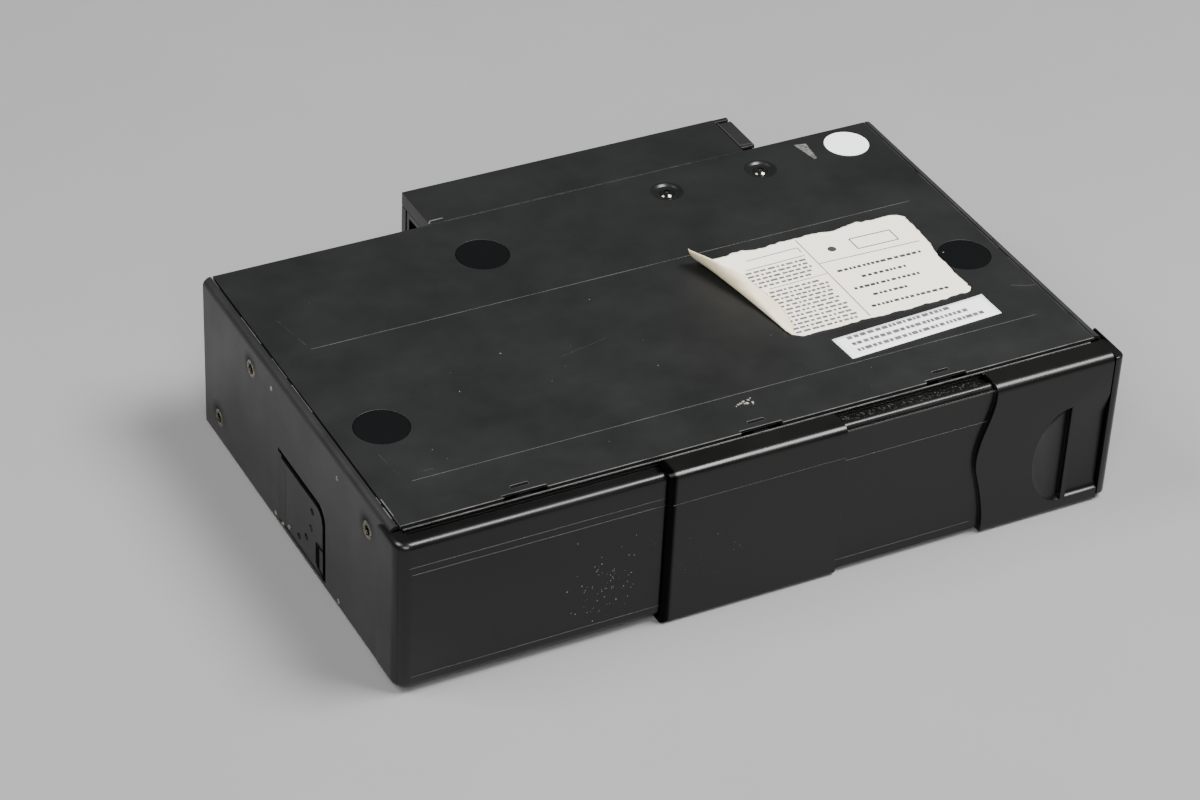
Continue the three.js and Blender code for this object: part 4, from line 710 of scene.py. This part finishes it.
# Soft step from the case down to the pressed plate, at the back of the window
step_form = ((0.01, 85.5), (0.02, 84.9), (0.14, 83.4), (0.22, 81.8), (0.27, 80.0), (0.6, 80.0),
             (0.6, 85.5))
bm = bmesh.new()
low, high = ([bm.verts.new(at(-case_half + deep, y, z)) for deep, y in step_form]
             for z in (3.3, 30.1))
bm.faces.new(low)
bm.faces.new(high[::-1])
for k in range(len(step_form)):
    bm.faces.new((low[k - 1], low[k], high[k], high[k - 1]))
bmesh.ops.recalc_face_normals(bm, faces=bm.faces)
keep(bm, "side_window_step", case_paint, "case", 60)


# Paper label: its left edge lifts, rolls over and leans back to the right
label_front, label_back, torn_run = 38.4, 90.5, 52
label_right = ((0, 101.9), (0.23, 101.6), (0.5, 102.5), (0.66, 103.4), (0.74, 104.1), (1, 104.1))
past_fold = ((0, 0.3), (0.1, 4.5), (0.28, 8.4), (0.5, 9.6), (0.75, 10.2), (1, 11))
paper_thick, paper_low = 0.16, plate_top + 0.06


def along(points, share):
    """The value at a share of the way along a line of (share, value) points"""
    for (a, low), (b, high) in zip(points, points[1:]):
        if share <= b:
            return low + (high - low) * (share - a) / (b - a)
    return points[-1][1]


def fold_at(v):
    """Where the sheet leaves the plate, v being 0 at its front edge and 1 at its back"""
    return 33.6 - 3.6 * v


def label_y(v):
    return label_front + (label_back - label_front) * v


def lifted_point(v, away):
    """A point of the rolled part of the sheet, away in mm to the left of the fold"""
    radius = 0.5 + 7.4 * v ** 1.9
    most = math.radians(186)
    angle = min(away / radius, most)
    x = fold_at(v) - radius * math.sin(angle)
    z = paper_low + radius * (1 - math.cos(angle))
    rest = away - radius * most
    if rest > 0:
        x -= rest * math.cos(most)
        z += rest * math.sin(most)
    return at(x, label_y(v), z)


def ragged(t, seed, size):
    """How far a torn or worn edge wanders, at t mm along it"""
    slow = noise.noise(Vector((t * 0.11, seed, 0)))
    quick = noise.noise(Vector((t * 0.5, seed + 7, 0)))
    return size * (slow + 0.45 * quick)


def creased(v, left):
    """How far the rolled part is crumpled"""
    broad = noise.noise(Vector((v * 9, left * 0.25, 41)))
    return broad + 0.5 * noise.noise(Vector((v * 24, left * 0.4, 3)))


def make_label():
    """The sheet as a grid: flat on the plate, rolled up and crumpled past its fold"""
    bm = bmesh.new()
    bmesh.ops.create_grid(bm, x_segments=96, y_segments=72, size=0.5)
    lifted = bm.verts.layers.float.new("lifted")
    for vert in bm.verts:
        u, v = vert.co.x + 0.5, vert.co.y + 0.5
        fold = fold_at(v)
        flat = along(label_right, v) - fold
        reach = along(past_fold, v)
        left = u * (flat + reach) - reach
        if left < 0:
            vert[lifted] = min(1, -left / 4)
            place = lifted_point(v, -left)
            lift = ragged(v * torn_run, 3, 0.5) * left / -11
            place += Vector((lift, 0, -0.3 * abs(lift))) * mm
            place += Vector((-0.25, 0, 0.35)) * (creased(v, left) * 0.9 * vert[lifted] * mm)
        else:
            place = at(fold + left, label_y(v), paper_low)
        x_mm = place.x / mm
        right_pull = max(0, (u - 0.9) / 0.1)
        place.x += right_pull * ragged(v * torn_run, 11, 0.9) * mm
        front_pull, back_pull = max(0, 1 - v / 0.1), max(0, (v - 0.9) / 0.1)
        if left > -1:
            place.y += front_pull * (ragged(x_mm, 23, 1.3) + 0.4) * mm
            place.y -= back_pull * (ragged(x_mm, 31, 1.3) + 0.4) * mm
            corner = max(0, (u - 0.95) / 0.05)
            place.y += (front_pull * corner ** 2 * 2.4 - back_pull * corner ** 2 * 3.2) * mm
            place.y += front_pull * max(0, 1 - left / 4) ** 2 * 2.2 * mm
        if place.z < (paper_low + 0.02) * mm:
            place.z += 0.1 * mm * max(0, noise.noise(Vector((x_mm * 0.12, v * 6, 5))))
        vert.co = place
    bmesh.ops.recalc_face_normals(bm, faces=bm.faces)
    flat_face = max(bm.faces, key=lambda face: face.calc_center_median().x)
    if flat_face.normal.z < 0:
        bmesh.ops.reverse_faces(bm, faces=bm.faces)
    sheet = keep(bm, "paper_label_sheet", cream_paper, "case", 60, ("paper_label",))
    thicken(sheet, paper_thick)


def thicken(piece, thick):
    """Gives a sheet its thickness, upwards from the plate"""
    wall = piece.modifiers.new("paper", "SOLIDIFY")
    wall.thickness = thick * mm
    wall.offset = 1


make_label()

# Rules of a blank form on the label and the strip, and the punched dot
rule_z = paper_low + paper_thick + 0.03


def rules(name, lines, material, width):
    """Printed straight lines on the label and the strip"""
    bm = bmesh.new()
    for a, b in lines:
        add_bar(bm, at(*a, rule_z), at(*b, rule_z), width, 0.05, up)
    return keep(bm, name, material, "case")


rules("label_rules", [
    ((62.6, 39.8), (62.6, 89.2)), ((63, 73.5), (101, 72.2)), ((41, 84.5), (60.8, 84.9)),
    ((60.8, 81.8), (60.8, 84.9)), ((38.5, 79.5), (60.8, 79.9)), ((40, 66.8), (62.3, 67.3)),
], ink, 0.3)
chance = random.Random(5)


def dashes(start, end, most):
    """A row of short strokes of uneven length, standing in for a line of a blank form"""
    start, end = Vector(start), Vector(end)
    total, done, row = (end - start).length, 0.0, []
    while done < total - 0.6:
        length = min(chance.uniform(0.8, most), total - done)
        stroke = start.lerp(end, done / total), start.lerp(end, (done + length) / total)
        row.append(tuple(tuple(tip) for tip in stroke))
        done += length + chance.uniform(0.45, 0.9)
    return row


rows = []
for y in [41.0 + 2.15 * k for k in range(12)] + [68.9 + 2.15 * k for k in range(5)]:
    rows += dashes((35.4 + max(0, y - 64) * 0.12, y), (61.0 - chance.uniform(0, 4), y + 0.2), 2.6)
rules("label_rows", rows, pale_ink, 1.0)
rows = []
for start, end in (((66, 44.6), (95, 44.2)), ((70, 50.4), (84, 50.2)), ((66, 55.8), (92, 55.4)),
                   ((72, 61.2), (90, 60.9)), ((66, 67.0), (98, 66.5))):
    rows += dashes(start, end, 2.0)
rules("label_fields", rows, ink, 1.25)
corners = [(79.5, 76.3), (95, 75.9), (95, 82.2), (79.5, 82.6)]
rules("label_frame", list(zip(corners, corners[1:] + corners[:1])), ink, 0.4)
dot = spun([(0, 0), (1.5, 0), (1.5, 0.05), (0, 0.05)], at(71.2, 79.6, rule_z), steps=20)
keep(dot, "label_dot", ink, "case")

# Strip sticker, its back right corner a little lifted, with three rows, and the round one
bm = bmesh.new()
bmesh.ops.create_grid(bm, x_segments=24, y_segments=8, size=0.5)
a, b, c, d = map(Vector, ((45.0, 21.1), (103.2, 24.2), (102.9, 36.1), (44.2, 33.2)))
for vert in bm.verts:
    u, v = vert.co.x + 0.5, vert.co.y + 0.5
    flat = a.lerp(b, u).lerp(d.lerp(c, u), v)
    bend = 9 * max(0, u - 0.93) * max(0, v - 0.7)
    vert.co = at(flat.x, flat.y, plate_top + 0.05 + bend)
thicken(keep(bm, "strip_sticker", white_sticker, "case"), 0.12)
rows = []
for k, reach in enumerate((0.98, 0.9, 0.8)):
    start, end = Vector((49, 24.6 + 3.5 * k)), Vector((99, 27.2 + 3.5 * k))
    rows += dashes(start, start.lerp(end, reach), 2.4)
rules("strip_rows", rows, pale_ink, 1.5)
round_sticker = spun([(0, 0.02), (7.9, 0.02), (7.9, 0.14), (0, 0.14)],
                     at(110.16, 136.45, plate_top), steps=64)
keep(round_sticker, "round_sticker", white_sticker, "case")


# Flakes: chips, scraped foil and lint
def flakes(name, places, material, seed, body="case", front=False):
    """Small uneven flat flakes at (x, y, z, size, stretch), lying or on an upright front"""
    pick = random.Random(seed)
    parts = []
    for x, y, z, size, stretch in places:
        bm = bmesh.new()
        bmesh.ops.create_circle(bm, cap_ends=True, segments=9, radius=size * mm)
        for vert in bm.verts:
            vert.co *= pick.uniform(0.6, 1.25)
            vert.co.x *= stretch
        grown = bmesh.ops.extrude_face_region(bm, geom=list(bm.faces))["geom"]
        bmesh.ops.translate(bm, vec=(0, 0, 0.05 * mm), verts=verts_of(grown))
        swing = Matrix.Rotation(pick.uniform(0, 3), 3, "Z")
        if front:
            swing = Matrix.Rotation(math.pi / 2, 3, "X") @ swing
        bmesh.ops.rotate(bm, cent=(0, 0, 0), matrix=swing, verts=bm.verts)
        bmesh.ops.translate(bm, vec=at(x, y, z), verts=bm.verts)
        bmesh.ops.recalc_face_normals(bm, faces=bm.faces)
        parts.append(bm)
    return keep(merged(parts), name, material, body)


flakes("plate_chips", [(x, y, skin, size * 0.62, stretch) for x, y, size, stretch in (
    (-1.9, 13.3, 0.4, 1.2), (-0.9, 13.9, 0.5, 1.3), (0.1, 14.2, 0.75, 1.1), (1.3, 14.8, 0.6, 1.5),
    (1.2, 13.6, 0.5, 1.2), (2.1, 13.5, 0.9, 0.9), (3.2, 14.9, 0.7, 1.0), (3.9, 13.3, 0.7, 1.4),
    (4.3, 15.6, 0.5, 0.8), (3.6, 12.4, 0.35, 1))], chipped, 3)

# Scrape of foil beside the round sticker: ten strokes that narrow towards the front
pick = random.Random(9)
strokes = 10
bm = bmesh.new()
for k in range(strokes):
    share = k / (strokes - 1)
    start = Vector((93.0 + 3.9 * share, 143.2 - 0.8 * share))
    end = Vector((95.0 + 1.0 * share, 132.2 + 0.3 * share))
    done = 0.0
    while done < 0.96:
        step = min(pick.uniform(0.1, 0.3), 1 - done)
        a, b = start.lerp(end, done), start.lerp(end, done + step)
        add_bar(bm, at(*a, skin), at(*b, skin), 0.36 * (1.2 - 0.85 * done), 0.04, up)
        done += step + pick.uniform(0.0, 0.05)
keep(bm, "foil_scrape", foil, "case")

# Lint in the door's track, and dry specks on the front and the plate
track_z = 55.78
specks = [(pick.uniform(25, 77), pick.uniform(-5.6, -2.8), track_z, pick.uniform(0.08, 0.3),
           pick.uniform(0.8, 2.2)) for _ in range(170)]
flakes("track_lint", specks, lint, 4)
specks = [(pick.gauss(-57, 6), -bezel_face, pick.gauss(22, 7.5), pick.uniform(0.06, 0.2),
           pick.uniform(0.8, 1.6)) for _ in range(80)]
specks = [speck for speck in specks if 8 < speck[2] < 44]
flakes("bezel_specks", specks, speck_white, 6, front=True)
specks = [(pick.uniform(-36, -10), -cover_face, pick.uniform(6, 34), pick.uniform(0.05, 0.14), 1.2)
          for _ in range(14)]
flakes("cover_specks", specks, speck_white, 7, "door_cover", True)
specks = [(pick.uniform(-105, 105), pick.uniform(12, 92), skin, pick.uniform(0.08, 0.22),
           pick.uniform(0.8, 1.8)) for _ in range(26)]
flakes("plate_specks", specks, speck_white, 8)

# Floor, light and camera
bm = bmesh.new()
bmesh.ops.create_grid(bm, x_segments=1, y_segments=1, size=3)
paper_floor = finish("paper floor", (0.245, 0.246, 0.245), (0.26, 0.261, 0.26), 0.85, grain=1.2,
                     depth=0.05, clouds=6, level=0.2)
floor = keep(bm, "floor", paper_floor, "case")

world = bpy.context.scene.world or bpy.data.worlds.new("studio")
bpy.context.scene.world = world
world.use_nodes = True
background = world.node_tree.nodes["Background"]
background.inputs["Color"].default_value = (1, 1, 1, 1)
background.inputs["Strength"].default_value = 0.16


def softbox(name, place, side, power):
    """A square lamp that faces the object"""
    lamp = bpy.data.lights.new(name, "AREA")
    lamp.shape = "RECTANGLE"
    lamp.size = lamp.size_y = side
    lamp.energy = power
    holder = bpy.data.objects.new(name, lamp)
    holder.location = place
    holder.rotation_euler = (-Vector(place)).to_track_quat("-Z", "Y").to_euler()
    bpy.context.scene.collection.objects.link(holder)


softbox("key, front right", (0.6, -0.4, 1.36), 0.7, 48)
softbox("fill, left", (-1.0, 0.25, 1.3), 0.7, 20)
softbox("fill, camera side", (-0.7, -1.3, 1.2), 0.9, 26)

# The camera stands back from a point on the floor, at the photograph's viewing angle
azimuth, height_angle, tilt = math.radians(-28.828), math.radians(35.306), math.radians(2.897)
back = Vector((math.sin(azimuth) * math.cos(height_angle),
               -math.cos(azimuth) * math.cos(height_angle), math.sin(height_angle)))
level = Vector((math.cos(azimuth), math.sin(azimuth), 0))
rise = back.cross(level)
side = math.cos(tilt) * level + math.sin(tilt) * rise
top = -math.sin(tilt) * level + math.cos(tilt) * rise
stance = Matrix((side, top, back)).transposed().to_4x4()
aim, stand_off = at(0.038, 105.444, 0), 1224.175
lens = bpy.data.cameras.new("photo camera")
lens.sensor_width = 36
lens.lens = 107.775
camera = bpy.data.objects.new("photo camera", lens)
camera.matrix_world = Matrix.Translation(aim + back * stand_off * mm) @ stance
bpy.context.scene.collection.objects.link(camera)
bpy.context.scene.camera = camera
